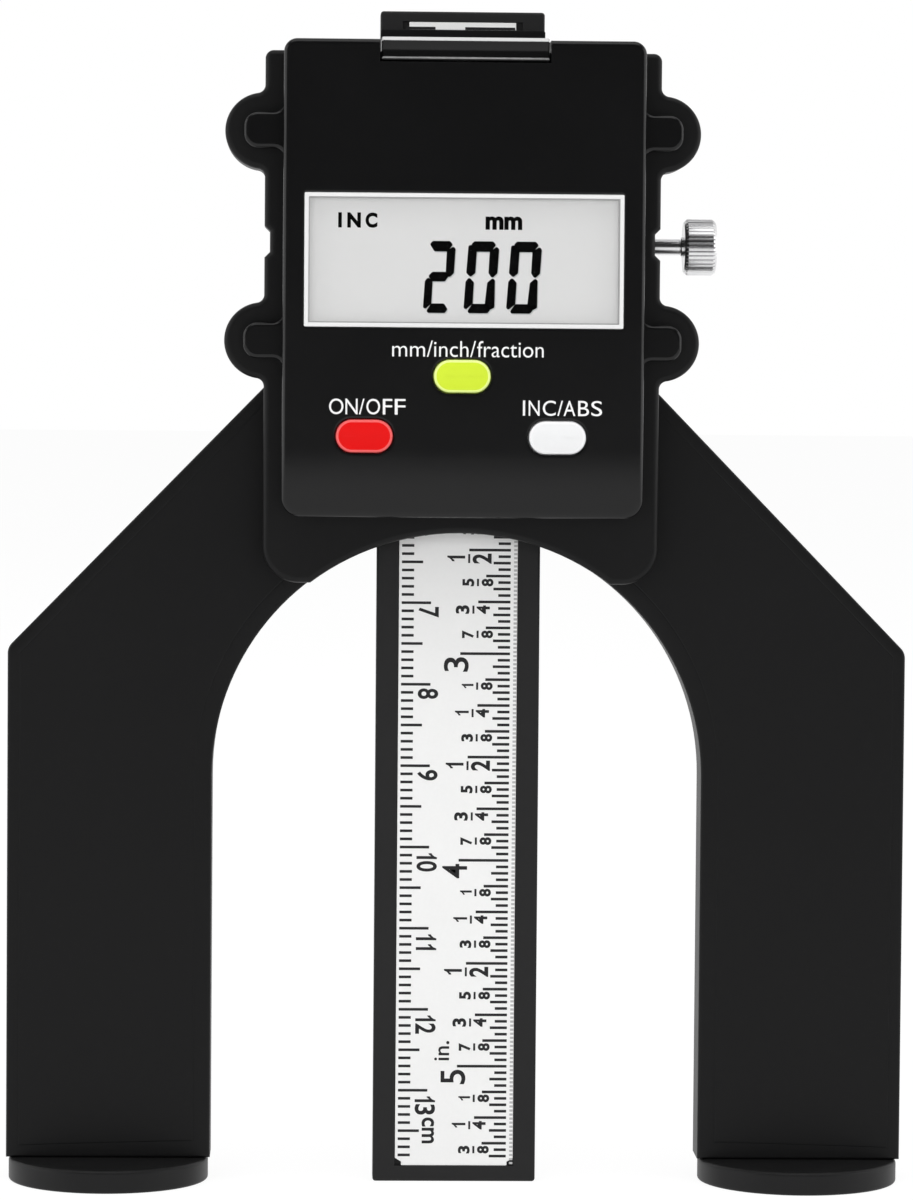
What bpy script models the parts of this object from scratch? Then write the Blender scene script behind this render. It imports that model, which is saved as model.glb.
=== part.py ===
# Digital depth gauge on two magnetic feet: a measuring head on a U-shaped frame,
# with a bar that slides up and down through the arch.
# Units are metres. +Z is up, the front faces -Y, and the origin lies on the floor
# midway between the centres of the two feet.

import math

import bmesh
import bpy
from mathutils import Vector

# Frame and feet
ARCH_WIDTH = 0.0600
ARCH_HEIGHT = 0.0800
LEG_WIDTH = 0.0250
FRAME_DEPTH = 0.0080
FRAME_FRONT = -0.0024
FRAME_EDGE = 0.0016
SHOULDER_DROP = 0.0145
SHOULDER_ANGLE = 45.8
SHOULDER_ROUND = 0.0018
NECK_MARGIN = 0.0009
NECK_ROUND = 0.0030
NECK_TOP_DROP = 0.0010
LEG_POCKET_DEPTH = 0.0008
LEG_POCKET_MARGIN = 0.0040
FOOT_HEIGHT = 0.0028
FOOT_INSET = 0.00025
FOOT_EDGE = 0.00035
MAGNET_WALL = 0.0020
MAGNET_HOLE = 0.0045
MAGNET_RECESS = 0.00025
FOOT_ROOF = 0.0008
FOOT_SCREW_THREAD = 0.0030
FOOT_SCREW_HEAD = 0.0058
FOOT_SCREW_REACH = 0.0065

# Measuring bar
BAR_WIDTH = 0.0200
BAR_THICKNESS = 0.0030
BAR_TOP_PROUD = 0.0053
BAR_SINK = 0.0001
BAR_SIDE_GAP = 0.00015
BAR_BACK_GAP = 0.0002
BAR_TRAVEL = 0.0800
BAR_EDGE = 0.0004
LABEL_WIDTH = 0.0145
LABEL_THICKNESS = 0.0002
LABEL_TONGUE = 0.0130
LABEL_NOTCH = 0.0009
LABEL_TOP_MARGIN = 0.0013
LABEL_TIP_MARGIN = 0.0020
SENSOR_STRIP_THICKNESS = 0.0003
STOP_DIAMETER = 0.0020
STOP_REACH = 0.0015

# Rear shell
SHELL_WIDTH = 0.0478
SHELL_DROP = 0.0061
SHELL_DEPTH = 0.00675
SHELL_EDGE = 0.0008
SHELL_TOP_ROUND = 0.0010
SHELL_BOTTOM_ROUND = 0.0043
SHELL_FLOOR = 0.0010
LOBE_RADIUS = 0.0046
LOBE_OUT = 0.0002
LOBE_FILLET = 0.0010
LOBE_TOP_DROP = 0.0097
LOBE_SPACING = 0.0252
THUMB_NOTCH_HEIGHT = 0.0038
THUMB_NOTCH_DEPTH = 0.00065
INDEX_LIP_RISE = 0.0030
INDEX_LIP_THICKNESS = 0.0012
CORNER_BLOCK_GAP = 0.0010
CORNER_BLOCK_HEIGHT = 0.0090

# Front casing
CASING_MARGIN = 0.00225
CASING_HEIGHT = 0.05705
CASING_BOTTOM_RISE = 0.0020
CASING_TOP_PROUD = 0.00105
CASING_DEPTH = 0.00565
CASING_WALL = 0.0013
CASING_EDGE = 0.0010
CASING_TOP_ROUND = 0.0016
CASING_BOTTOM_ROUND = 0.0022
EAR_HEIGHT = 0.0039
EAR_REACH = 0.0023
EAR_THICKNESS = 0.0021
EAR_FLARE = 0.0012

# Display
BEZEL_SIDE_MARGIN = 0.00255
BEZEL_HEIGHT = 0.0160
BEZEL_RAISE = 0.002225
BEZEL_BORDER = 0.0008
BEZEL_DEPTH = 0.0011
BEZEL_ROUND = 0.0005
LENS_THICKNESS = 0.0008
PANEL_MARGIN = 0.0006
PANEL_THICKNESS = 0.0016
CONTACT_STRIP_MARGIN = 0.0021
CONTACT_STRIP_HEIGHT = 0.0014

# Buttons
BUTTON_WIDTH = 0.0068
BUTTON_HEIGHT = 0.0041
BUTTON_PROUD = 0.0008
BUTTON_TRAVEL = 0.0006
BUTTON_GAP = 0.00015
BUTTON_FLANGE = 0.0005
BUTTON_FLANGE_THICKNESS = 0.0006
BUTTON_STEM = 0.0030
SIDE_BUTTON_INSET = 0.01005
UNIT_BUTTON_DROP = 0.00575
SIDE_BUTTON_DROP = 0.0072
SWITCH_SIZE = 0.0045
SWITCH_PLUNGER = 0.0022
SWITCH_PLUNGER_LENGTH = 0.0006

# Electronics and battery
BOARD_SIDE_GAP = 0.00085
BOARD_THICKNESS = 0.0010
BOARD_TOP_GAP = 0.0008
CHIP_DIAMETER = 0.0090
CHIP_HEIGHT = 0.0012
CHIP_MARGIN = 0.0010
CELL_DIAMETER = 0.0200
CELL_THICKNESS = 0.0032
TRAY_FLOOR = 0.0006
TRAY_LIP_HEIGHT = 0.0028
TRAY_LIP_PROUD = 0.0003
TRAY_SIDE_GAP = 0.0002
CONTACT_THICKNESS = 0.00025
CONTACT_WIDTH = 0.0030

# Lock screw and guide spring
LOCK_DROP = 0.0230
LOCK_AXIS_BACK = 0.0019
LOCK_SHANK = 0.0021
LOCK_HEAD_DIAMETER = 0.00686
LOCK_HEAD_LENGTH = 0.0039
LOCK_HEAD_STANDOFF = 0.0034
LOCK_KNURLS = 24
LOCK_KNURL_DEPTH = 0.00018
LOCK_TRAVEL = 0.0004
LOCK_PAD_DIAMETER = 0.0026
LOCK_PAD_LENGTH = 0.0021
LOCK_NUT_SIZE = 0.0036
LOCK_NUT_THICKNESS = 0.0024
LOCK_NUT_INSET = 0.0035
SPRING_LENGTH = 0.0280
SPRING_HEIGHT = 0.0022
SPRING_THICKNESS = 0.00025
SPRING_BOW = 0.0006

# Small screws
SCREW_THREAD = 0.0020
SCREW_HEAD = 0.0036
SCREW_HEAD_HEIGHT = 0.0014
CASING_SCREW_BITE = 0.0015
SHELL_SCREW_BITE = 0.0045
LOWER_SCREW_INSET = 0.0069

# Clearances
SEAT = 0.00005
BORE_GAP = 0.00015
ARC_STEP = 18.0
ARCH_STEP = 7.5
DISC_STEPS = 40
SMALL_STEPS = 14

# Heights, widths and depths that follow from the sizes above
half_arch = ARCH_WIDTH / 2
half_frame = half_arch + LEG_WIDTH
leg_centre = half_arch + LEG_WIDTH / 2
leg_bottom = FOOT_HEIGHT + SEAT
shoulder_z = ARCH_HEIGHT - SHOULDER_DROP
casing_bottom = ARCH_HEIGHT + CASING_BOTTOM_RISE
casing_top = casing_bottom + CASING_HEIGHT
shell_top = casing_top - CASING_TOP_PROUD
shell_bottom = ARCH_HEIGHT - SHELL_DROP
neck_width = SHELL_WIDTH - 2 * NECK_MARGIN
neck_top = shell_top - NECK_TOP_DROP
bar_top = shell_top + BAR_TOP_PROUD
tip_stop_z = STOP_DIAMETER / 2 + BAR_EDGE
raised_stop_top = tip_stop_z + STOP_DIAMETER / 2 + BAR_TRAVEL
casing_width = SHELL_WIDTH - 2 * CASING_MARGIN
bezel_width = casing_width - 2 * BEZEL_SIDE_MARGIN
bezel_centre = (casing_bottom + casing_top) / 2 + BEZEL_RAISE
bezel_bottom = bezel_centre - BEZEL_HEIGHT / 2
lobe_x = SHELL_WIDTH / 2 + LOBE_OUT
upper_lobe_z = shell_top - LOBE_TOP_DROP
lower_lobe_z = upper_lobe_z - LOBE_SPACING
lock_z = shell_top - LOCK_DROP

frame_back = FRAME_FRONT + FRAME_DEPTH
bar_front = FRAME_FRONT + BAR_SINK
bar_back = bar_front + BAR_THICKNESS
channel_floor = bar_back + BAR_BACK_GAP
shell_back = FRAME_FRONT - SEAT
shell_front = shell_back - SHELL_DEPTH
floor_front = shell_back - SHELL_FLOOR
casing_back = shell_front - SEAT
casing_front = casing_back - CASING_DEPTH
wall_inside = casing_front + CASING_WALL
board_back = floor_front - SEAT
board_front = board_back - BOARD_THICKNESS
panel_front = wall_inside + SEAT
panel_back = panel_front + PANEL_THICKNESS
cell_front = panel_back + 3 * SEAT
cell_back = cell_front + CELL_THICKNESS
tray_floor_front = cell_back + SEAT
tray_floor_back = tray_floor_front + TRAY_FLOOR
lip_bottom = casing_top + TRAY_LIP_PROUD - TRAY_LIP_HEIGHT
cell_z = lip_bottom - SEAT - CELL_DIAMETER / 2
tray_bottom = cell_z - CELL_DIAMETER / 2 + 2 * TRAY_FLOOR
tray_width = CELL_DIAMETER
cavity_side = casing_width / 2 - CASING_WALL
block_inside = tray_width / 2 + CORNER_BLOCK_GAP
cavity_bottom = casing_bottom + CASING_WALL
cavity_top = shell_top - CASING_WALL
board_top = cavity_top - CORNER_BLOCK_HEIGHT + CASING_WALL - BOARD_TOP_GAP
board_bottom = cavity_bottom + BOARD_TOP_GAP
board_side = cavity_side - BOARD_SIDE_GAP
contact_strip_z = bezel_bottom + PANEL_MARGIN + CONTACT_STRIP_HEIGHT
lock_y = FRAME_FRONT + LOCK_AXIS_BACK
lock_nut_x = neck_width / 2 - LOCK_NUT_INSET - LOCK_NUT_THICKNESS
side_button_x = casing_width / 2 - SIDE_BUTTON_INSET
unit_button = (0.0, bezel_bottom - UNIT_BUTTON_DROP)
power_button = (-side_button_x, unit_button[1] - SIDE_BUTTON_DROP)
mode_button = (side_button_x, unit_button[1] - SIDE_BUTTON_DROP)


def clear_scene():
    for thing in list(bpy.data.objects):
        bpy.data.objects.remove(thing, do_unlink=True)


def make_material(name, colour, roughness, metallic=0.0):
    material = bpy.data.materials.new(name)
    material.use_nodes = True
    shader = material.node_tree.nodes["Principled BSDF"]
    shader.inputs["Base Color"].default_value = (*colour, 1.0)
    shader.inputs["Roughness"].default_value = roughness
    shader.inputs["Metallic"].default_value = metallic
    return material


def finish_object(name, mesh_data, material, parent=None, crease=32.0):
    # Turns a bmesh in world coordinates into a named object under its joint's empty.
    bmesh.ops.remove_doubles(mesh_data, verts=mesh_data.verts, dist=1e-7)
    bmesh.ops.recalc_face_normals(mesh_data, faces=mesh_data.faces)
    if parent:
        bmesh.ops.translate(mesh_data, verts=mesh_data.verts, vec=-parent.location)
    mesh = bpy.data.meshes.new(name)
    mesh_data.to_mesh(mesh)
    mesh_data.free()
    mesh.shade_smooth()
    mesh.set_sharp_from_angle(angle=math.radians(crease))
    thing = bpy.data.objects.new(name, mesh)
    bpy.context.scene.collection.objects.link(thing)
    thing.data.materials.append(material)
    thing.parent = parent
    return thing


def joint_empty(name, location):
    empty = bpy.data.objects.new(name, None)
    empty.location = location
    bpy.context.scene.collection.objects.link(empty)
    return empty


def combine(target, tool, operation):
    # Cuts the tool out of the target, or joins the two, and keeps the tool as a guide.
    tool.hide_render = True
    tool.display_type = "WIRE"
    change = target.modifiers.new(tool.name, "BOOLEAN")
    change.object = tool
    change.operation = operation
    change.solver = "EXACT"


def rounded(corners, step=ARC_STEP):
    # Outline from corners (x, z, radius), with an arc at each corner that has a radius.
    points = []
    count = len(corners)
    for number, (x, z, radius) in enumerate(corners):
        if radius <= 0:
            points.append(Vector((x, z)))
            continue
        here = Vector((x, z))
        before = (Vector(corners[number - 1][:2]) - here).normalized()
        after = (Vector(corners[(number + 1) % count][:2]) - here).normalized()
        half = before.angle(after) / 2
        centre = here + (before + after).normalized() * radius / math.sin(half)
        start = here + before * radius / math.tan(half) - centre
        turn = start.angle_signed(here + after * radius / math.tan(half) - centre)
        pieces = max(2, math.ceil(abs(math.degrees(turn)) / step))
        first = math.atan2(start.y, start.x)
        for piece in range(pieces + 1):
            angle = first - turn * piece / pieces
            points.append(centre + Vector((math.cos(angle), math.sin(angle))) * radius)
    clean = []
    for point in points:
        if not clean or (point - clean[-1]).length > 1e-6:
            clean.append(point)
    if (clean[0] - clean[-1]).length < 1e-6:
        clean.pop()
    return clean


def rectangle(width, height, centre_x, centre_z, radius=0.0):
    left = centre_x - width / 2
    right = centre_x + width / 2
    low = centre_z - height / 2
    high = centre_z + height / 2
    return rounded([(left, low, radius), (right, low, radius),
                    (right, high, radius), (left, high, radius)])


def mirrored(half_corners):
    # Full outline from its right half, listed from the bottom to the top.
    return half_corners + [(-x, z, r) for x, z, r in reversed(half_corners)]


def prism_mesh(outline, front, back, front_edge=0.0, back_edge=0.0, rings=2):
    # Outline in X and Z, extruded along Y, with rounded front and back rims.
    shape = bmesh.new()
    near = [shape.verts.new((p.x, front, p.y)) for p in outline]
    shape.faces.new(near)
    grown = bmesh.ops.extrude_face_region(shape, geom=list(shape.faces))
    moved = [v for v in grown["geom"] if isinstance(v, bmesh.types.BMVert)]
    bmesh.ops.translate(shape, verts=moved, vec=(0, back - front, 0))
    for depth, width in ((front, front_edge), (back, back_edge)):
        if width > 0:
            rim = [e for e in shape.edges
                   if all(abs(v.co.y - depth) < 1e-7 for v in e.verts)]
            bmesh.ops.bevel(shape, geom=rim, offset=width, segments=rings,
                            profile=0.5, affect="EDGES", clamp_overlap=False)
    return shape


def prism(name, outline, front, back, material, front_edge=0.0, back_edge=0.0,
          parent=None, rings=2):
    shape = prism_mesh(outline, front, back, front_edge, back_edge, rings)
    return finish_object(name, shape, material, parent)


def box(name, low, high, material, parent=None):
    outline = [Vector((low[0], low[2])), Vector((high[0], low[2])),
               Vector((high[0], high[2])), Vector((low[0], high[2]))]
    return prism(name, outline, low[1], high[1], material, parent=parent)


def turned(name, profile, centre, axis, material, parent=None, steps=SMALL_STEPS,
           closed=False, radius_at=None):
    # Turns a profile of (radius, distance along the axis) round an axis through centre.
    direction = Vector(axis).normalized()
    side = direction.orthogonal().normalized()
    other = direction.cross(side)
    shape = bmesh.new()
    rings = []
    for radius, along in profile:
        base = Vector(centre) + direction * along
        if radius <= 0:
            rings.append([shape.verts.new(base)])
            continue
        ring = []
        for number in range(steps):
            angle = 2 * math.pi * number / steps
            reach = radius - (radius_at(number, along) if radius_at else 0.0)
            spoke = side * math.cos(angle) + other * math.sin(angle)
            ring.append(shape.verts.new(base + spoke * reach))
        rings.append(ring)
    pairs = list(zip(rings, rings[1:]))
    if closed:
        pairs.append((rings[-1], rings[0]))
    for first, second in pairs:
        for number in range(steps):
            after = (number + 1) % steps
            if len(first) == 1:
                shape.faces.new((first[0], second[number], second[after]))
            elif len(second) == 1:
                shape.faces.new((first[number], second[0], first[after]))
            else:
                shape.faces.new((first[number], second[number], second[after], first[after]))
    return finish_object(name, shape, material, parent)


def rod(name, diameter, centre, axis, length, material, parent=None, steps=SMALL_STEPS,
        edge=0.0):
    radius = diameter / 2
    profile = [(0, 0), (radius - edge, 0)]
    if edge > 0:
        profile += [(radius, edge), (radius, length - edge)]
    else:
        profile += [(radius, length)]
    if edge > 0:
        profile += [(radius - edge, length)]
    profile += [(0, length)]
    return turned(name, profile, centre, axis, material, parent, steps)


def frame_outline():
    slant = math.tan(math.radians(SHOULDER_ANGLE))
    neck = neck_width / 2
    neck_z = shoulder_z + (half_frame - neck) * slant
    right = [(half_arch, leg_bottom, 0), (half_frame, leg_bottom, 0),
             (half_frame, shoulder_z, SHOULDER_ROUND), (neck, neck_z, 0),
             (neck, neck_top, NECK_ROUND)]
    left = [(-x, z, r) for x, z, r in reversed(right)]
    arch = [(-half_arch, ARCH_HEIGHT, half_arch), (half_arch, ARCH_HEIGHT, half_arch)]
    return rounded(right + left + arch, ARCH_STEP)


def build_frame(black):
    frame = prism("base_frame", frame_outline(), FRAME_FRONT, frame_back, black,
                  FRAME_EDGE, FRAME_EDGE)
    channel = BAR_WIDTH / 2 + BAR_SIDE_GAP
    beyond = FRAME_DEPTH
    combine(frame, box("channel_cutter",
                       (-channel, FRAME_FRONT - beyond, ARCH_HEIGHT - 2 * SHOULDER_DROP),
                       (channel, channel_floor, neck_top + beyond), black), "DIFFERENCE")
    stop = STOP_DIAMETER / 2 + 2 * BORE_GAP
    combine(frame, box("stop_relief_cutter",
                       (-stop, channel_floor - beyond / 4, ARCH_HEIGHT - beyond),
                       (stop, bar_back + STOP_REACH + 2 * BORE_GAP,
                        raised_stop_top + SEAT), black), "DIFFERENCE")
    for side, word in ((-1, "left"), (1, "right")):
        tall = shoulder_z - leg_bottom - 2 * LEG_POCKET_MARGIN
        pocket = rectangle(LEG_WIDTH - 2 * LEG_POCKET_MARGIN, tall, side * leg_centre,
                           leg_bottom + LEG_POCKET_MARGIN + tall / 2, LEG_POCKET_MARGIN / 2)
        combine(frame, prism(f"leg_pocket_{word}_cutter", pocket,
                             frame_back - LEG_POCKET_DEPTH, frame_back + beyond, black),
                "DIFFERENCE")
        combine(frame, rod(f"foot_screw_{word}_cutter", FOOT_SCREW_THREAD + 2 * BORE_GAP,
                           (side * leg_centre, 0, 0), (0, 0, 1),
                           leg_bottom + FOOT_SCREW_REACH + 2 * BORE_GAP, black), "DIFFERENCE")
    cut_lock_bores(frame, black)
    cut_spring_pocket(frame, black)
    for number, (x, z) in enumerate(shell_screw_places(), 1):
        combine(frame, screw_cutter(f"shell_screw_{number}_cutter", (x, frame_back, z),
                                    (0, -1, 0), FRAME_DEPTH * 1.5, black), "DIFFERENCE")
    return frame


def cut_lock_bores(frame, black):
    bar_side = BAR_WIDTH / 2
    across = LOCK_NUT_SIZE / 2 + BORE_GAP
    combine(frame, rod("lock_pad_cutter", LOCK_PAD_DIAMETER + 2 * BORE_GAP,
                       (bar_side - LOCK_PAD_LENGTH, lock_y, lock_z), (1, 0, 0),
                       lock_nut_x - bar_side + LOCK_PAD_LENGTH + LOCK_NUT_THICKNESS / 3,
                       black), "DIFFERENCE")
    combine(frame, rod("lock_shank_cutter", LOCK_SHANK + 2 * BORE_GAP,
                       (lock_nut_x + LOCK_NUT_THICKNESS * 2 / 3, lock_y, lock_z), (1, 0, 0),
                       neck_width / 2, black), "DIFFERENCE")
    combine(frame, box("lock_nut_cutter",
                       (lock_nut_x - BORE_GAP, FRAME_FRONT - FRAME_DEPTH, lock_z - across),
                       (lock_nut_x + LOCK_NUT_THICKNESS + BORE_GAP, lock_y + across,
                        lock_z + across), black), "DIFFERENCE")


def cut_spring_pocket(frame, black):
    depth = SPRING_BOW + SPRING_THICKNESS + 2 * BORE_GAP
    edge = BAR_WIDTH / 2
    middle = (bar_front + bar_back) / 2
    reach = SPRING_LENGTH / 2 + 2 * BORE_GAP
    combine(frame, box("spring_cutter",
                       (-edge - depth, FRAME_FRONT - FRAME_DEPTH, lock_z - reach),
                       (-edge, middle + SPRING_HEIGHT / 2 + BORE_GAP, lock_z + reach), black),
            "DIFFERENCE")


def shell_screw_places():
    low = (shell_bottom + casing_bottom) / 2 + SHELL_EDGE
    high = cavity_top - CORNER_BLOCK_HEIGHT / 2 + CASING_WALL / 2
    side = (cavity_side + block_inside) / 2
    low_side = SHELL_WIDTH / 2 - LOWER_SCREW_INSET
    return [(-side, high), (side, high), (-low_side, low), (low_side, low)]


def screw_cutter(name, start, direction, length, material):
    # Stepped hole for a pan-head screw: the head's recess, then the thread's clearance.
    head = SCREW_HEAD / 2 + BORE_GAP
    neck = SCREW_THREAD / 2 + BORE_GAP
    deep = SCREW_HEAD_HEIGHT + 2 * BORE_GAP
    profile = [(0, -deep), (head, -deep), (head, deep), (neck, deep), (neck, length),
               (0, length)]
    return turned(name, profile, start, direction, material)


def pan_screw(name, head_face, direction, reach, material, parent=None):
    # A pan-head screw whose head starts at head_face and whose thread ends at reach.
    head = SCREW_HEAD / 2
    thread = SCREW_THREAD / 2
    slope = SCREW_HEAD_HEIGHT / 4
    recess = SCREW_HEAD / 5
    profile = [(0, recess), (recess, recess), (recess, 0), (head - slope, 0),
               (head, slope), (head, SCREW_HEAD_HEIGHT), (thread, SCREW_HEAD_HEIGHT),
               (thread, reach - slope), (thread / 2, reach), (0, reach)]
    return turned(name, profile, head_face, direction, material, parent)


def build_feet(foot_metal, magnet_metal, steel):
    radius = LEG_WIDTH / 2 - FOOT_INSET
    ring_out = radius - MAGNET_WALL
    roof = FOOT_HEIGHT - FOOT_ROOF
    hole = FOOT_SCREW_THREAD / 2 + BORE_GAP
    head = FOOT_SCREW_HEAD / 2
    for side, word in ((-1, "left"), (1, "right")):
        place = (side * leg_centre, 0, 0)
        sink = head - FOOT_SCREW_THREAD / 2
        cup = [(hole, FOOT_HEIGHT), (hole, MAGNET_RECESS + sink),
               (head + BORE_GAP, MAGNET_RECESS), (head + BORE_GAP, 0),
               (MAGNET_HOLE - BORE_GAP, 0), (MAGNET_HOLE - BORE_GAP, roof),
               (ring_out + BORE_GAP, roof), (ring_out + BORE_GAP, 0),
               (radius - FOOT_EDGE, 0), (radius, FOOT_EDGE),
               (radius, FOOT_HEIGHT - FOOT_EDGE), (radius - FOOT_EDGE, FOOT_HEIGHT)]
        turned(f"foot_{word}", cup, place, (0, 0, 1), foot_metal, steps=DISC_STEPS,
               closed=True)
        ring = [(MAGNET_HOLE, roof - SEAT), (MAGNET_HOLE, MAGNET_RECESS),
                (ring_out, MAGNET_RECESS), (ring_out, roof - SEAT)]
        turned(f"magnet_{word}", ring, place, (0, 0, 1), magnet_metal, steps=DISC_STEPS,
               closed=True)
        thread = FOOT_SCREW_THREAD / 2
        start = MAGNET_RECESS + BORE_GAP / 2
        tip = leg_bottom + FOOT_SCREW_REACH
        screw = [(0, start + head / 3), (head / 3, start + head / 3), (head / 3, start),
                 (head - BORE_GAP, start), (thread, start + sink), (thread, tip - thread / 2),
                 (thread / 2, tip), (0, tip)]
        turned(f"foot_screw_{word}", screw, place, (0, 0, 1), steel)


def label_corners(low, high):
    half = LABEL_WIDTH / 2
    tongue = LABEL_TONGUE / 2
    right = [(tongue, low, 0), (tongue, low + LABEL_NOTCH / 2, 0),
             (half, low + LABEL_NOTCH, 0), (half, high - LABEL_NOTCH, 0),
             (tongue, high - LABEL_NOTCH / 2, 0), (tongue, high, 0)]
    return rounded(mirrored(right))


def build_bar(black, white, copper, steel):
    joint = joint_empty("bar_joint", (0, bar_back, 0))
    outline = rectangle(BAR_WIDTH, bar_top, 0, bar_top / 2, BAR_EDGE)
    bar = prism("ruler_bar", outline, bar_front, bar_back, black, parent=joint)
    low = LABEL_TIP_MARGIN
    high = bar_top - LABEL_TOP_MARGIN
    recess = LABEL_THICKNESS + SENSOR_STRIP_THICKNESS + 2 * SEAT
    margin = LABEL_WIDTH + 2 * SEAT
    groove = rectangle(margin, high - low + 2 * SEAT, 0, (low + high) / 2)
    combine(bar, prism("label_groove_cutter", groove, bar_front - BAR_THICKNESS,
                       bar_front + recess, black, parent=joint), "DIFFERENCE")
    label_front = bar_front
    prism("scale_label", label_corners(low, high), label_front,
          label_front + LABEL_THICKNESS, white, parent=joint)
    strip_front = label_front + LABEL_THICKNESS + SEAT
    strip = rectangle(LABEL_TONGUE, high - low - 2 * LABEL_NOTCH, 0, (low + high) / 2)
    prism("sensor_strip", strip, strip_front, strip_front + SENSOR_STRIP_THICKNESS,
          copper, parent=joint)
    radius = STOP_DIAMETER / 2
    top_stop_z = neck_top + radius + 2 * SEAT
    for word, height in (("top", top_stop_z), ("tip", tip_stop_z)):
        stud = radius / 2
        deep = BAR_THICKNESS / 2
        combine(bar, rod(f"stop_{word}_cutter", 2 * (stud + BORE_GAP),
                         (0, bar_back + deep, height), (0, -1, 0),
                         2 * deep + BORE_GAP, black, parent=joint), "DIFFERENCE")
        pin = [(0, -deep), (stud, -deep), (stud, SEAT), (radius, SEAT),
               (radius, STOP_REACH - SEAT), (radius - 2 * SEAT, STOP_REACH), (0, STOP_REACH)]
        turned(f"bar_stop_{word}", pin, (0, bar_back, height), (0, 1, 0), steel,
               parent=joint)
    return bar


def shell_outline():
    # Right half of the shell with its two lobes, then the left half mirrored.
    side = SHELL_WIDTH / 2
    points = []
    corner = rounded([(0, shell_bottom, 0), (side, shell_bottom, SHELL_BOTTOM_ROUND),
                      (side, shell_bottom + 2 * SHELL_BOTTOM_ROUND, 0)])[1:-1]
    points += corner
    for middle in (lower_lobe_z, upper_lobe_z):
        points += lobe_points(side, middle)
    cap = rounded([(side, upper_lobe_z + LOBE_RADIUS, 0), (side, shell_top, SHELL_TOP_ROUND),
                   (0, shell_top, 0)])[1:-1]
    points += cap
    return points + [Vector((-p.x, p.y)) for p in reversed(points)]


def lobe_points(side, middle):
    # A round lobe on the side wall, joined to it by two small fillets.
    out = lobe_x - side
    reach = LOBE_RADIUS + LOBE_FILLET
    rise = math.sqrt(reach ** 2 - (out - LOBE_FILLET) ** 2)
    touch = math.atan2(rise, LOBE_FILLET - out)
    points = []
    pieces = math.ceil(math.degrees(touch) / ARC_STEP)
    for number in range(pieces + 1):
        angle = math.pi - touch * number / pieces
        points.append(Vector((side + LOBE_FILLET + LOBE_FILLET * math.cos(angle),
                              -rise + LOBE_FILLET * math.sin(angle))))
    for number in range(1, 2 * pieces):
        angle = -touch + touch * number / pieces
        points.append(Vector((lobe_x + LOBE_RADIUS * math.cos(angle),
                              LOBE_RADIUS * math.sin(angle))))
    upper = [Vector((p.x, -p.y)) for p in reversed(points[:pieces + 1])]
    return [Vector((p.x, middle + p.y)) for p in points + upper]


def cavity_outline():
    # Room inside the shell, narrower above, where the corner blocks take the screws.
    step_z = cavity_top - CORNER_BLOCK_HEIGHT + CASING_WALL
    right = [(cavity_side, cavity_bottom, SHELL_EDGE), (cavity_side, step_z, SHELL_EDGE),
             (block_inside, step_z, 0), (block_inside, cavity_top, 0)]
    return rounded(mirrored(right))


def build_shell(black):
    shell = prism("rear_shell", shell_outline(), shell_front, shell_back, black, SHELL_EDGE)
    beyond = SHELL_DEPTH
    lip = box("index_lip_guide",
              (-BAR_WIDTH / 2, shell_back - INDEX_LIP_THICKNESS, shell_top - CASING_WALL),
              (BAR_WIDTH / 2, shell_back, shell_top + INDEX_LIP_RISE), black)
    combine(shell, lip, "UNION")
    for number, (x, z) in enumerate(shell_screw_places(), 1):
        combine(shell, rod(f"shell_thread_{number}_cutter", SCREW_THREAD + 2 * BORE_GAP,
                           (x, shell_back + beyond, z), (0, -1, 0),
                           beyond + SHELL_SCREW_BITE + BORE_GAP, black), "DIFFERENCE")
    combine(shell, prism("shell_cavity_cutter", cavity_outline(), shell_front - beyond,
                         floor_front, black), "DIFFERENCE")
    arch = rounded([(-half_arch, 0, 0), (half_arch, 0, 0),
                    (half_arch, ARCH_HEIGHT, half_arch),
                    (-half_arch, ARCH_HEIGHT, half_arch)], ARCH_STEP)
    combine(shell, prism("shell_arch_cutter", arch, shell_front - beyond,
                         shell_back + beyond, black), "DIFFERENCE")
    window = rectangle(BAR_WIDTH - 3 * SHELL_FLOOR, board_top - board_bottom - LOBE_RADIUS,
                       0, (board_top + board_bottom) / 2, SHELL_EDGE)
    combine(shell, prism("sensor_window_cutter", window, floor_front - SHELL_FLOOR,
                         shell_back + beyond, black), "DIFFERENCE")
    slot = tray_width / 2 + TRAY_SIDE_GAP
    combine(shell, box("shell_slot_cutter", (-slot, shell_front - beyond, cavity_top - beyond),
                       (slot, tray_floor_back + TRAY_SIDE_GAP, shell_top + beyond), black),
            "DIFFERENCE")
    notch = rectangle(2 * THUMB_NOTCH_DEPTH, THUMB_NOTCH_HEIGHT, SHELL_WIDTH / 2, lock_z,
                      THUMB_NOTCH_DEPTH * 0.6)
    combine(shell, prism("thumb_notch_cutter", notch, shell_front - beyond,
                         shell_back + beyond, black), "DIFFERENCE")
    for number, (x, z) in enumerate(casing_screw_places(), 1):
        combine(shell, screw_cutter(f"casing_screw_{number}_cutter", (x, shell_back, z),
                                    (0, -1, 0), SHELL_DEPTH * 1.5, black), "DIFFERENCE")
    return shell


def casing_screw_places():
    return [(-lobe_x, upper_lobe_z), (lobe_x, upper_lobe_z),
            (-lobe_x, lower_lobe_z), (lobe_x, lower_lobe_z)]


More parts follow.
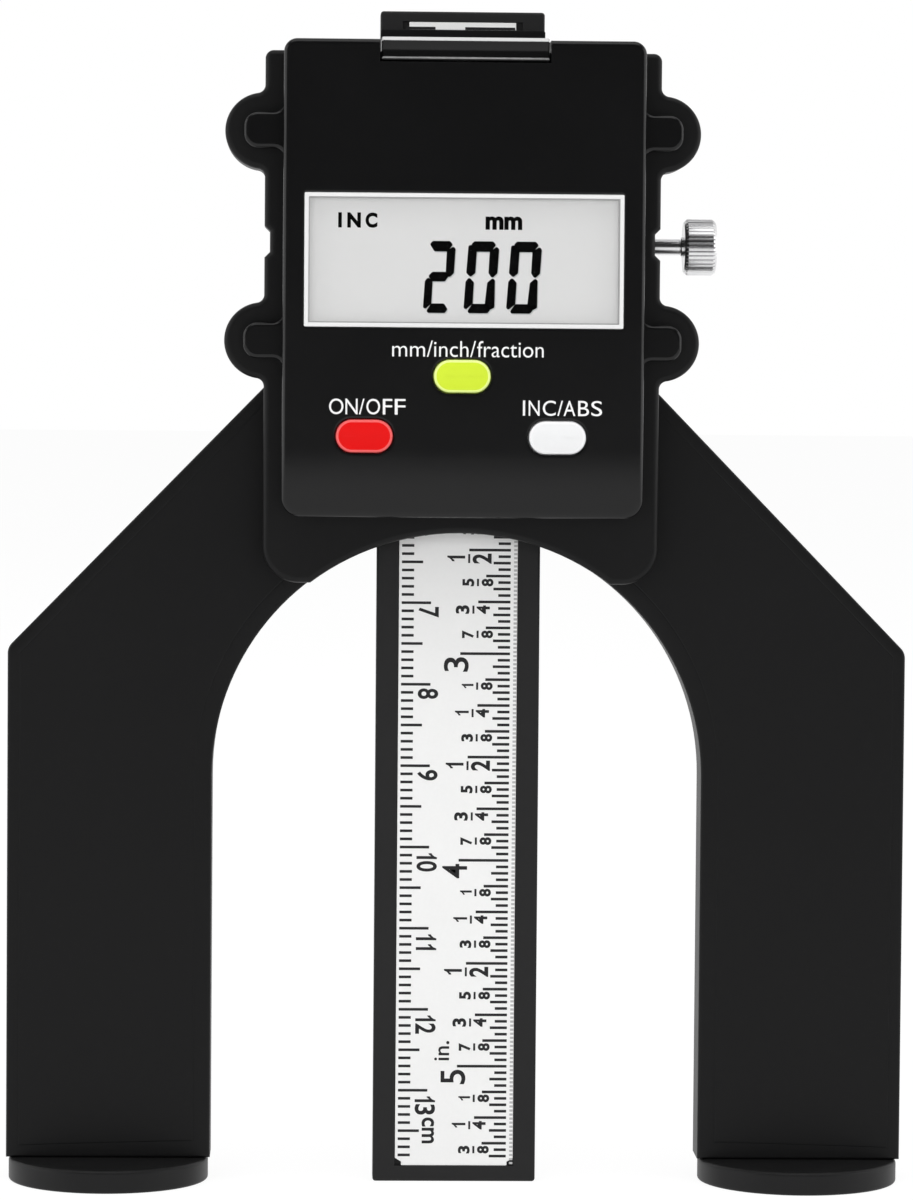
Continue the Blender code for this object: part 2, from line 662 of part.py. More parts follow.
def ear_outline(side):
    # A tongue from the casing's side out over a lobe, flared where it leaves the wall.
    wall = casing_width / 2
    tip = lobe_x + EAR_REACH
    half = EAR_HEIGHT / 2
    inside = wall - CASING_WALL / 2
    corners = [(inside, -half - EAR_FLARE, 0), (wall, -half - EAR_FLARE, 0),
               (wall + EAR_FLARE, -half, EAR_FLARE / 2),
               (tip, -half, half * 0.95), (tip, half, half * 0.95),
               (wall + EAR_FLARE, half, EAR_FLARE / 2), (wall, half + EAR_FLARE, 0),
               (inside, half + EAR_FLARE, 0)]
    return [Vector((side * p.x, p.y)) for p in rounded(corners)]


def build_casing(black):
    height = casing_top - casing_bottom
    half = casing_width / 2
    outline = rounded([(-half, casing_bottom, CASING_BOTTOM_ROUND),
                       (half, casing_bottom, CASING_BOTTOM_ROUND),
                       (half, casing_top, CASING_TOP_ROUND),
                       (-half, casing_top, CASING_TOP_ROUND)])
    casing = prism("front_casing", outline, casing_front, casing_back, black, CASING_EDGE)
    for number, (x, z) in enumerate(casing_screw_places(), 1):
        side = 1 if x > 0 else -1
        ear = [Vector((p.x, p.y + z)) for p in ear_outline(side)]
        combine(casing, prism(f"ear_{number}_guide", ear, casing_back - EAR_THICKNESS,
                              casing_back, black, EAR_THICKNESS / 4, rings=2), "UNION")
    beyond = CASING_DEPTH
    inner = rectangle(2 * cavity_side, height - 2 * CASING_WALL, 0,
                      (casing_top + casing_bottom) / 2, CASING_EDGE)
    combine(casing, prism("casing_cavity_cutter", inner, wall_inside, casing_back + beyond,
                          black), "DIFFERENCE")
    window = rectangle(bezel_width + 2 * SEAT, BEZEL_HEIGHT + 2 * SEAT, 0, bezel_centre,
                       BEZEL_ROUND)
    combine(casing, prism("window_cutter", window, casing_front - beyond,
                          casing_back + beyond, black), "DIFFERENCE")
    for word, place in (("unit", unit_button), ("power", power_button),
                        ("mode", mode_button)):
        hole = rectangle(BUTTON_WIDTH + 2 * BUTTON_GAP, BUTTON_HEIGHT + 2 * BUTTON_GAP,
                         place[0], place[1], BUTTON_HEIGHT / 2)
        combine(casing, prism(f"{word}_hole_cutter", hole, casing_front - beyond,
                              casing_back + beyond, black), "DIFFERENCE")
    slot = tray_width / 2 + TRAY_SIDE_GAP
    combine(casing, box("lip_slot_cutter",
                        (-slot, casing_front - beyond, lip_bottom - TRAY_SIDE_GAP),
                        (slot, casing_back + beyond, casing_top + beyond), black),
            "DIFFERENCE")
    for number, (x, z) in enumerate(casing_screw_places(), 1):
        combine(casing, rod(f"ear_thread_{number}_cutter", SCREW_THREAD + 2 * BORE_GAP,
                            (x, casing_back + beyond, z), (0, -1, 0),
                            beyond + CASING_SCREW_BITE + BORE_GAP, black), "DIFFERENCE")
    return casing


def build_screws(steel):
    head_sink = BORE_GAP
    reach = abs(shell_back - casing_back) + CASING_SCREW_BITE - head_sink
    for number, (x, z) in enumerate(casing_screw_places(), 1):
        pan_screw(f"casing_screw_{number}", (x, shell_back - head_sink, z), (0, -1, 0),
                  reach, steel)
    reach = frame_back - shell_back + SHELL_SCREW_BITE - head_sink
    for number, (x, z) in enumerate(shell_screw_places(), 1):
        pan_screw(f"shell_screw_{number}", (x, frame_back - head_sink, z), (0, -1, 0),
                  reach, steel)


def build_display(white, clear, display_grey, rubber):
    opening_w = bezel_width - 2 * BEZEL_BORDER
    opening_h = BEZEL_HEIGHT - 2 * BEZEL_BORDER
    bezel = prism("lcd_bezel", rectangle(bezel_width, BEZEL_HEIGHT, 0, bezel_centre,
                                         BEZEL_ROUND),
                  casing_front, casing_front + BEZEL_DEPTH, white, BEZEL_BORDER / 4)
    combine(bezel, prism("bezel_opening_cutter",
                         rectangle(opening_w, opening_h, 0, bezel_centre, BEZEL_ROUND),
                         casing_front - BEZEL_DEPTH, casing_front + 2 * BEZEL_DEPTH, white),
            "DIFFERENCE")
    lens_front = casing_front + (BEZEL_DEPTH - LENS_THICKNESS) / 2
    prism("window_lens", rectangle(opening_w - 2 * SEAT, opening_h - 2 * SEAT, 0,
                                   bezel_centre, BEZEL_ROUND),
          lens_front, lens_front + LENS_THICKNESS, clear)
    prism("lcd_panel", rectangle(bezel_width - 2 * PANEL_MARGIN,
                                 BEZEL_HEIGHT - 2 * PANEL_MARGIN, 0, bezel_centre),
          panel_front, panel_back, display_grey)
    prism("contact_strip", rectangle(bezel_width - 2 * CONTACT_STRIP_MARGIN,
                                     CONTACT_STRIP_HEIGHT, 0, contact_strip_z),
          panel_back + SEAT, board_front - SEAT, rubber)


def build_buttons(colours, switch_black):
    front = casing_front - BUTTON_PROUD
    flange_front = wall_inside + SEAT
    flange_back = flange_front + BUTTON_FLANGE_THICKNESS
    plunger = board_front - SEAT - switch_height() - SWITCH_PLUNGER_LENGTH
    stem_back = plunger - BUTTON_TRAVEL - BORE_GAP
    for word, place in (("unit", unit_button), ("power", power_button),
                        ("mode", mode_button)):
        joint = joint_empty(f"{word}_joint", (place[0], casing_front, place[1]))
        cap = rectangle(BUTTON_WIDTH, BUTTON_HEIGHT, place[0], place[1], BUTTON_HEIGHT / 2)
        button = prism(f"button_{word}", cap, front, flange_back, colours[word],
                       BUTTON_PROUD / 2, parent=joint)
        flange = rectangle(BUTTON_WIDTH + 2 * BUTTON_FLANGE, BUTTON_HEIGHT + 2 * BUTTON_FLANGE,
                           place[0], place[1], BUTTON_HEIGHT / 2)
        combine(button, prism(f"{word}_flange_guide", flange, flange_front, flange_back,
                              colours[word], parent=joint), "UNION")
        combine(button, rod(f"{word}_stem_guide", BUTTON_STEM,
                            (place[0], flange_front, place[1]), (0, 1, 0),
                            stem_back - flange_front, colours[word], parent=joint), "UNION")
        build_switch(word, place, switch_black)


def switch_height():
    # The switch fills the room between the board and a plunger at the casing's back.
    return (board_front - casing_back) - SWITCH_PLUNGER_LENGTH


def build_switch(word, place, material):
    back = board_front - SEAT
    front = back - switch_height()
    body = prism(f"switch_{word}", rectangle(SWITCH_SIZE, SWITCH_SIZE, place[0], place[1],
                                             SWITCH_SIZE / 10), front, back, material,
                 SWITCH_SIZE / 15)
    combine(body, rod(f"plunger_{word}_guide", SWITCH_PLUNGER, (place[0], back, place[1]),
                      (0, -1, 0), switch_height() + SWITCH_PLUNGER_LENGTH, material), "UNION")


def build_board(board_green, chip_black):
    height = board_top - board_bottom
    prism("circuit_board", rectangle(2 * board_side, height, 0, (board_top + board_bottom) / 2,
                                     SHELL_EDGE), board_front, board_back, board_green)
    radius = CHIP_DIAMETER / 2
    chip_x = CHIP_MARGIN + radius - board_side
    chip_z = (contact_strip_z + board_top) / 2
    dome = [(0, 0), (radius, 0)]
    for number in range(1, 5):
        angle = math.pi / 2 * number / 5
        dome.append((radius * math.cos(angle), CHIP_HEIGHT * math.sin(angle)))
    dome.append((0, CHIP_HEIGHT))
    turned("sensor_chip", dome, (chip_x, board_front - SEAT, chip_z), (0, -1, 0), chip_black)


def build_battery(black, cell_steel, contact_metal):
    joint = joint_empty("tray_joint", (0, tray_floor_front, lip_bottom))
    half = tray_width / 2
    slope = TRAY_LIP_HEIGHT / 5
    lip_top = lip_bottom + TRAY_LIP_HEIGHT
    shape = bmesh.new()
    profile = [(tray_floor_back, tray_bottom), (tray_floor_back, lip_top),
               (casing_front + 2 * slope, lip_top), (casing_front + slope, lip_top - slope)]
    for number in range(1, 6):
        share = number / 6
        dip = math.sin(math.pi * share) * slope
        profile.append((casing_front + slope / 2 + dip,
                        lip_top - slope - (TRAY_LIP_HEIGHT - 2 * slope) * share))
    profile += [(casing_front, lip_bottom + slope), (casing_front, lip_bottom),
                (tray_floor_front, lip_bottom), (tray_floor_front, tray_bottom)]
    face = shape.faces.new([shape.verts.new((-half, y, z)) for y, z in profile])
    grown = bmesh.ops.extrude_face_region(shape, geom=[face])
    moved = [v for v in grown["geom"] if isinstance(v, bmesh.types.BMVert)]
    bmesh.ops.translate(shape, verts=moved, vec=(tray_width, 0, 0))
    tray = finish_object("battery_tray", shape, black, joint)
    build_tray_walls(tray, joint, black)
    radius = CELL_DIAMETER / 2
    edge = CELL_THICKNESS / 10
    can = [(0, 0), (radius - 2 * edge, 0), (radius, 2 * edge), (radius, CELL_THICKNESS - edge),
           (radius - edge, CELL_THICKNESS), (0, CELL_THICKNESS)]
    turned("coin_cell", can, (0, cell_back, cell_z), (0, -1, 0), cell_steel, joint,
           steps=DISC_STEPS)
    build_contacts(contact_metal)


def build_tray_walls(tray, joint, black):
    # Low arms that cradle the cell, cut to its round, with a slot that is open at the
    # lower end, so that the tray slides past the contact behind the cell.
    half = tray_width / 2
    arms = box("tray_arms_guide", (-half, tray_floor_front - CELL_THICKNESS / 2, tray_bottom),
               (half, tray_floor_back, lip_bottom), black, joint)
    seat = rod("cell_seat_cutter", CELL_DIAMETER + 2 * SEAT,
               (0, tray_floor_front, cell_z), (0, -1, 0), CELL_THICKNESS, black, joint,
               steps=DISC_STEPS)
    combine(tray, arms, "UNION")
    combine(tray, seat, "DIFFERENCE")
    slot_top = cell_z + CELL_DIAMETER / 4
    slot_bottom = tray_bottom - CELL_DIAMETER / 4
    slot = rectangle(CELL_DIAMETER / 2, slot_top - slot_bottom, 0,
                     (slot_top + slot_bottom) / 2, CELL_DIAMETER / 8)
    combine(tray, prism("tray_slot_cutter", slot, tray_floor_front - CELL_THICKNESS,
                        tray_floor_back + CELL_THICKNESS, black, parent=joint), "DIFFERENCE")


def build_contacts(metal):
    # Spring leaves bent from strip: one behind the cell, one beside its rim.
    width = CONTACT_WIDTH
    thick = CONTACT_THICKNESS
    back = board_front - SEAT
    reach = cell_back + 3 * BORE_GAP
    run = CELL_DIAMETER / 6
    outline = [(back, -run), (back - thick, -run), (back - thick, 0), (reach, run),
               (reach, run + thick), (reach + thick, run + thick), (back, thick)]
    strip_solid("contact_negative", outline, -width / 2, width / 2,
                cell_z - CELL_DIAMETER / 8, metal)
    rim = CELL_DIAMETER / 2 + TRAY_SIDE_GAP + BORE_GAP
    low = (rim, cell_front + CELL_THICKNESS / 3, cell_z - width / 2)
    high = (rim + thick, board_front - SEAT, cell_z + width / 2)
    box("contact_positive", low, high, metal)


def strip_solid(name, outline, left, right, base_z, material):
    # Outline in Y and Z, extruded along X.
    shape = bmesh.new()
    face = shape.faces.new([shape.verts.new((left, y, base_z + z)) for y, z in outline])
    grown = bmesh.ops.extrude_face_region(shape, geom=[face])
    moved = [v for v in grown["geom"] if isinstance(v, bmesh.types.BMVert)]
    bmesh.ops.translate(shape, verts=moved, vec=(right - left, 0, 0))
    return finish_object(name, shape, material)


def build_lock(steel, brass, nylon):
    bar_side = BAR_WIDTH / 2
    pad_x = bar_side + LOCK_TRAVEL + SEAT
    slide = joint_empty("lock_slide_joint", (pad_x, lock_y, lock_z))
    rod("lock_pad", LOCK_PAD_DIAMETER, (pad_x, lock_y, lock_z), (1, 0, 0), LOCK_PAD_LENGTH,
        nylon, slide, edge=SEAT * 4)
    tip_x = pad_x + LOCK_PAD_LENGTH + SEAT
    turn = joint_empty("lock_turn_joint", (tip_x, lock_y, lock_z))
    head_x = SHELL_WIDTH / 2 + LOCK_HEAD_STANDOFF - tip_x
    head = LOCK_HEAD_DIAMETER / 2
    shank = LOCK_SHANK / 2
    slope = LOCK_HEAD_LENGTH / 10
    end = head_x + LOCK_HEAD_LENGTH
    profile = [(0, 0), (shank * 0.7, 0), (shank, shank / 3), (shank, head_x),
               (head - slope, head_x), (head, head_x + slope), (head, end - slope),
               (head - slope, end), (head / 2, end), (head / 2 - slope, end - slope / 2),
               (0, end - slope / 2)]

    def groove(number, along):
        return LOCK_KNURL_DEPTH if number % 2 and along > head_x + slope / 2 \
            and along < end - slope / 2 else 0.0

    turned("lock_screw", profile, (tip_x, lock_y, lock_z), (1, 0, 0), steel, turn,
           steps=2 * LOCK_KNURLS, radius_at=groove)
    hole = LOCK_SHANK / 2 + BORE_GAP
    half = LOCK_NUT_SIZE / 2
    nut = box("lock_nut", (lock_nut_x, lock_y - half, lock_z - half),
              (lock_nut_x + LOCK_NUT_THICKNESS, lock_y + half, lock_z + half), brass)
    combine(nut, rod("nut_bore_cutter", 2 * hole, (lock_nut_x - half, lock_y, lock_z),
                     (1, 0, 0), LOCK_NUT_THICKNESS + 2 * half, brass), "DIFFERENCE")


def build_spring(metal):
    # A bowed leaf beside the bar: its middle bears on the bar's edge.
    edge = BAR_WIDTH / 2 + BORE_GAP
    middle = (bar_front + bar_back) / 2
    half = SPRING_LENGTH / 2
    pieces = 10
    near = []
    far = []
    for number in range(pieces + 1):
        place = -1 + 2 * number / pieces
        bow = edge + SPRING_BOW * place * place
        near.append(Vector((-bow, lock_z + half * place)))
        far.append(Vector((-bow - SPRING_THICKNESS, lock_z + half * place)))
    prism("guide_spring", near + far[::-1], middle - SPRING_HEIGHT / 2,
          middle + SPRING_HEIGHT / 2, metal)


def main():
    clear_scene()
    black = make_material("black_plastic", (0.017, 0.017, 0.018), 0.45)
    casing_black = make_material("casing_plastic", (0.011, 0.011, 0.012), 0.38)
    foot_metal = make_material("dark_nickel", (0.06, 0.06, 0.065), 0.35, 1.0)
    magnet_metal = make_material("magnet", (0.35, 0.35, 0.36), 0.3, 1.0)
    steel = make_material("steel", (0.6, 0.6, 0.6), 0.3, 1.0)
    white = make_material("white_film", (0.8, 0.8, 0.79), 0.5)
    copper = make_material("copper_strip", (0.72, 0.42, 0.25), 0.35, 1.0)
    clear = make_material("clear_window", (0.9, 0.92, 0.92), 0.05)
    display_grey = make_material("display_glass", (0.63, 0.66, 0.64), 0.25)
    rubber = make_material("contact_rubber", (0.15, 0.15, 0.16), 0.6)
    board_green = make_material("board", (0.03, 0.16, 0.07), 0.4)
    chip_black = make_material("chip_resin", (0.012, 0.012, 0.012), 0.3)
    switch_black = make_material("switch_plastic", (0.03, 0.03, 0.03), 0.5)
    cell_steel = make_material("cell_can", (0.7, 0.7, 0.7), 0.25, 1.0)
    spring_metal = make_material("spring_bronze", (0.7, 0.5, 0.3), 0.3, 1.0)
    brass = make_material("brass", (0.75, 0.58, 0.28), 0.3, 1.0)
    nylon = make_material("nylon", (0.75, 0.74, 0.7), 0.5)
    colours = {"unit": make_material("yellow_green", (0.48, 0.62, 0.05), 0.4),
               "power": make_material("red", (0.55, 0.03, 0.04), 0.4),
               "mode": make_material("button_white", (0.75, 0.77, 0.78), 0.4)}
    build_frame(black)
    build_feet(foot_metal, magnet_metal, steel)
    build_bar(casing_black, white, copper, steel)
    build_shell(black)
    build_casing(casing_black)
    build_screws(steel)
    build_display(white, clear, display_grey, rubber)
    build_buttons(colours, switch_black)
    build_board(board_green, chip_black)
    build_battery(casing_black, cell_steel, spring_metal)
    build_lock(steel, brass, nylon)
    build_spring(spring_metal)


main()
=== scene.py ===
import math

import bmesh
import bpy
from mathutils import Matrix, Vector
from mathutils.geometry import tessellate_polygon


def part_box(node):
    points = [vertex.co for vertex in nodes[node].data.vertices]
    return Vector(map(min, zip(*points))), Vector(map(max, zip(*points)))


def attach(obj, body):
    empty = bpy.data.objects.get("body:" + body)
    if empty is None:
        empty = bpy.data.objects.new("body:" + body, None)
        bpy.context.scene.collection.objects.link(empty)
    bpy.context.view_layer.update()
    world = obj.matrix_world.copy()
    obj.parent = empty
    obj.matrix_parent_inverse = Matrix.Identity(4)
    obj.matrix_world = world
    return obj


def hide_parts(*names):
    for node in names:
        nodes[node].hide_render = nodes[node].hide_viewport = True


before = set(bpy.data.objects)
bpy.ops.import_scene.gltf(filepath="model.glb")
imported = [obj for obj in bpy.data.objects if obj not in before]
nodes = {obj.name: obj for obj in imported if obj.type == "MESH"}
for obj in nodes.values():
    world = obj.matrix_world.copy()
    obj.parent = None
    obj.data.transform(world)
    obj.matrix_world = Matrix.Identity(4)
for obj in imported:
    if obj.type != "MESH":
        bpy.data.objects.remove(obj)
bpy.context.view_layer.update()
mm = 0.001  # every size below is in millimetres, and meshes are in metres
forward = Vector((0, -1, 0))
print("frame loaded:", len(nodes), "nodes")


def span(node):
    low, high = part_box(node)
    return low / mm, high / mm


def linked(name, data):
    holder = bpy.data.objects.new(name, data)
    bpy.context.scene.collection.objects.link(holder)
    return holder


# Camera: fitted to the photograph's own perspective
cameraLook = {"place": (-18.45, -581.1, 98.0), "dip": 0.0455, "turn": -0.0315,
              "roll": 0.0080, "lens": 142.1, "sensor": 36.0}


def makeCamera(look):
    data = bpy.data.cameras.new("camera")
    data.lens = look["lens"]
    data.sensor_width = look["sensor"]
    data.clip_start, data.clip_end = 0.01, 50
    camera = linked("camera", data)
    camera.matrix_world = (Matrix.Translation(Vector(look["place"]) * mm)
                           @ Matrix.Rotation(look["turn"], 4, "Z")
                           @ Matrix.Rotation(math.pi / 2 - look["dip"], 4, "X")
                           @ Matrix.Rotation(look["roll"], 4, "Z"))
    bpy.context.scene.camera = camera


makeCamera(cameraLook)
print("camera placed")


# Node trees
def wire(tree, source, target):
    tree.links.new(source, target)


def addNode(tree, kind, values=None, **settings):
    node = tree.nodes.new(kind)
    for word, value in settings.items():
        setattr(node, word, value)
    for word, value in (values or {}).items():
        socket = node.inputs[word]
        if isinstance(value, bpy.types.NodeSocket):
            wire(tree, value, socket)
        else:
            socket.default_value = value
    return node


def maths(tree, operation, *values):
    return addNode(tree, "ShaderNodeMath", dict(enumerate(values)),
                   operation=operation).outputs[0]


def times(tree, first, *others):
    for other in others:
        first = maths(tree, "MULTIPLY", first, other)
    return first


def ranged(tree, value, low, high, toLow=0.0, toHigh=1.0):
    return addNode(tree, "ShaderNodeMapRange",
                   {"Value": value, "From Min": low, "From Max": high, "To Min": toLow,
                    "To Max": toHigh}).outputs[0]


def vector(tree, x=0.0, y=0.0, z=0.0):
    return addNode(tree, "ShaderNodeCombineXYZ", {"X": x, "Y": y, "Z": z}).outputs[0]


def noise(tree, place, scale, detail, roughness):
    return addNode(tree, "ShaderNodeTexNoise",
                   {"Vector": place, "Scale": scale, "Detail": detail,
                    "Roughness": roughness}).outputs[0]


def newGroup(name, kind, inputs, outputs):
    tree = bpy.data.node_groups.new(name, kind)
    for word, socketKind, value in inputs:
        socket = tree.interface.new_socket(word, in_out="INPUT", socket_type=socketKind)
        if value is not None:
            socket.default_value = value
    for word, socketKind in outputs:
        tree.interface.new_socket(word, in_out="OUTPUT", socket_type=socketKind)
    return tree, tree.nodes.new("NodeGroupInput"), tree.nodes.new("NodeGroupOutput")


# Shared surface effects
def makeGrainGroup():
    tree, start, end = newGroup(
        "fineGrain", "ShaderNodeTree",
        [("Scale", "NodeSocketFloat", 3000.0), ("Stretch", "NodeSocketVector", (1, 1, 1)),
         ("Cloud Scale", "NodeSocketFloat", 60.0)],
        [("Height", "NodeSocketFloat"), ("Tone", "NodeSocketFloat")])
    place = addNode(tree, "ShaderNodeTexCoord").outputs["Object"]
    stretched = addNode(tree, "ShaderNodeVectorMath",
                        {0: place, 1: start.outputs["Stretch"]}, operation="MULTIPLY")
    fine = noise(tree, stretched.outputs[0], start.outputs["Scale"], 3.0, 0.6)
    cloud = noise(tree, place, start.outputs["Cloud Scale"], 4.0, 0.55)
    wire(tree, fine, end.inputs["Height"])
    wire(tree, maths(tree, "ADD", times(tree, fine, 0.35), times(tree, cloud, 0.65)),
         end.inputs["Tone"])
    return tree


# Convex edges: a mask for real wear that also paints highlight lines along rounded rims.
def makeWearGroup():
    tree, start, end = newGroup(
        "edgeWearAndHighlight", "ShaderNodeTree",
        [("Radius", "NodeSocketFloat", 0.0004), ("Amount", "NodeSocketFloat", 0.5),
         ("Scale", "NodeSocketFloat", 350.0)],
        [("Mask", "NodeSocketFloat")])
    softened = addNode(tree, "ShaderNodeBevel", {"Radius": start.outputs["Radius"]},
                       samples=6)
    plain = addNode(tree, "ShaderNodeNewGeometry")
    agreement = addNode(tree, "ShaderNodeVectorMath",
                        {0: softened.outputs[0], 1: plain.outputs["Normal"]},
                        operation="DOT_PRODUCT")
    edge = ranged(tree, agreement.outputs["Value"], 0.995, 0.90)
    place = addNode(tree, "ShaderNodeTexCoord").outputs["Object"]
    broken = ranged(tree, noise(tree, place, start.outputs["Scale"], 5.0, 0.6),
                    0.35, 0.65, 0.35)
    wire(tree, times(tree, edge, broken, start.outputs["Amount"]), end.inputs["Mask"])
    return tree


def makeDustGroup():
    tree, start, end = newGroup(
        "lightDust", "ShaderNodeTree",
        [("Amount", "NodeSocketFloat", 0.2), ("Scale", "NodeSocketFloat", 900.0)],
        [("Mask", "NodeSocketFloat")])
    surface = addNode(tree, "ShaderNodeNewGeometry")
    split = addNode(tree, "ShaderNodeSeparateXYZ", {0: surface.outputs["Normal"]})
    facing = ranged(tree, split.outputs["Z"], 0.1, 1.0, 0.1)
    place = addNode(tree, "ShaderNodeTexCoord").outputs["Object"]
    spotted = ranged(tree, noise(tree, place, start.outputs["Scale"], 6.0, 0.75), 0.5, 0.75)
    wire(tree, times(tree, facing, spotted, start.outputs["Amount"]), end.inputs["Mask"])
    return tree


grainGroup = makeGrainGroup()
wearAndHighlightGroup = makeWearGroup()
dustGroup = makeDustGroup()


def useGroup(tree, group, values):
    node = tree.nodes.new("ShaderNodeGroup")
    node.node_tree = group
    for word, value in values.items():
        node.inputs[word].default_value = value
    return node


def blendColours(tree, mask, first, second):
    node = tree.nodes.new("ShaderNodeMix")
    node.data_type = "RGBA"
    wire(tree, mask, node.inputs["Factor"])
    for socket, value in ((node.inputs["A"], first), (node.inputs["B"], second)):
        if isinstance(value, bpy.types.NodeSocket):
            wire(tree, value, socket)
        else:
            socket.default_value = (*value, 1)
    return node.outputs["Result"]


plainLook = {"roughness": 0.4, "spread": 0.08, "shade": 0.12, "metallic": 0.0,
             "specular": 0.5, "grain": 2500.0, "stretch": (1, 1, 1), "cloud": 60.0,
             "bump": 0.15, "wearAndHighlightRadius": 0.0004, "wearAndHighlight": 0.4, "dust": 0.06,
             "dustColour": (0.35, 0.34, 0.33), "alpha": 1.0, "glow": 0.0}
satinLook = {"roughness": 0.45, "specular": 0.17, "grain": 1900.0, "bump": 0.12,
             "shade": 0.10, "cloud": 35.0, "wearAndHighlight": 0.5, "dust": 0.03}
capLook = {"roughness": 0.34, "bump": 0.06, "shade": 0.03, "wearAndHighlight": 0.3, "cloud": 200.0}
capRimLook = {"roughness": 0.28, "specular": 0.4, "bump": 0.04, "shade": 0.03, "wearAndHighlight": 0.3}
inkLook = {"roughness": 0.5, "bump": 0.1, "wearAndHighlight": 0.0, "dust": 0.0}
panelInkLook = {**inkLook, "bump": 0.02, "shade": 0.1}


def makeFinish(name, look):
    # One finish: a base colour with cloudy tone, edges lightened as wear and as a painted
    # highlight, faint dust and fine grain.
    look = {**plainLook, **look}
    material = bpy.data.materials.new(name)
    material.use_nodes = True
    tree = material.node_tree
    shader = tree.nodes["Principled BSDF"]
    grain = useGroup(tree, grainGroup, {"Scale": look["grain"], "Stretch": look["stretch"],
                                        "Cloud Scale": look["cloud"]})
    wornAndHighlightEdge = useGroup(tree, wearAndHighlightGroup, {"Radius": look["wearAndHighlightRadius"], "Amount": look["wearAndHighlight"]})
    dusty = useGroup(tree, dustGroup, {"Amount": look["dust"]})
    colour = Vector(look["colour"])
    light = [min(1, c) for c in colour * (1 + look["shade"])]
    tone = ranged(tree, grain.outputs["Tone"], 0.3, 0.7)
    base = blendColours(tree, tone, colour * (1 - look["shade"]), light)
    edged = blendColours(tree, wornAndHighlightEdge.outputs["Mask"], base, look.get("wornAndHighlightEdge", light))
    dusted = blendColours(tree, dusty.outputs["Mask"], edged, look["dustColour"])
    wire(tree, dusted, shader.inputs["Base Color"])
    middle, spread = look["roughness"], look["spread"] / 2
    rough = ranged(tree, grain.outputs["Tone"], 0.3, 0.7, middle - spread, middle + spread)
    wire(tree, rough, shader.inputs["Roughness"])
    bump = addNode(tree, "ShaderNodeBump", {"Height": grain.outputs["Height"],
                                            "Strength": look["bump"],
                                            "Distance": 0.00005})
    wire(tree, bump.outputs[0], shader.inputs["Normal"])
    for word, value in (("Metallic", look["metallic"]), ("Alpha", look["alpha"]),
                        ("Specular IOR Level", look["specular"]),
                        ("Emission Color", (1, 1, 1, 1)), ("Emission Strength", look["glow"])):
        shader.inputs[word].default_value = value
    return material
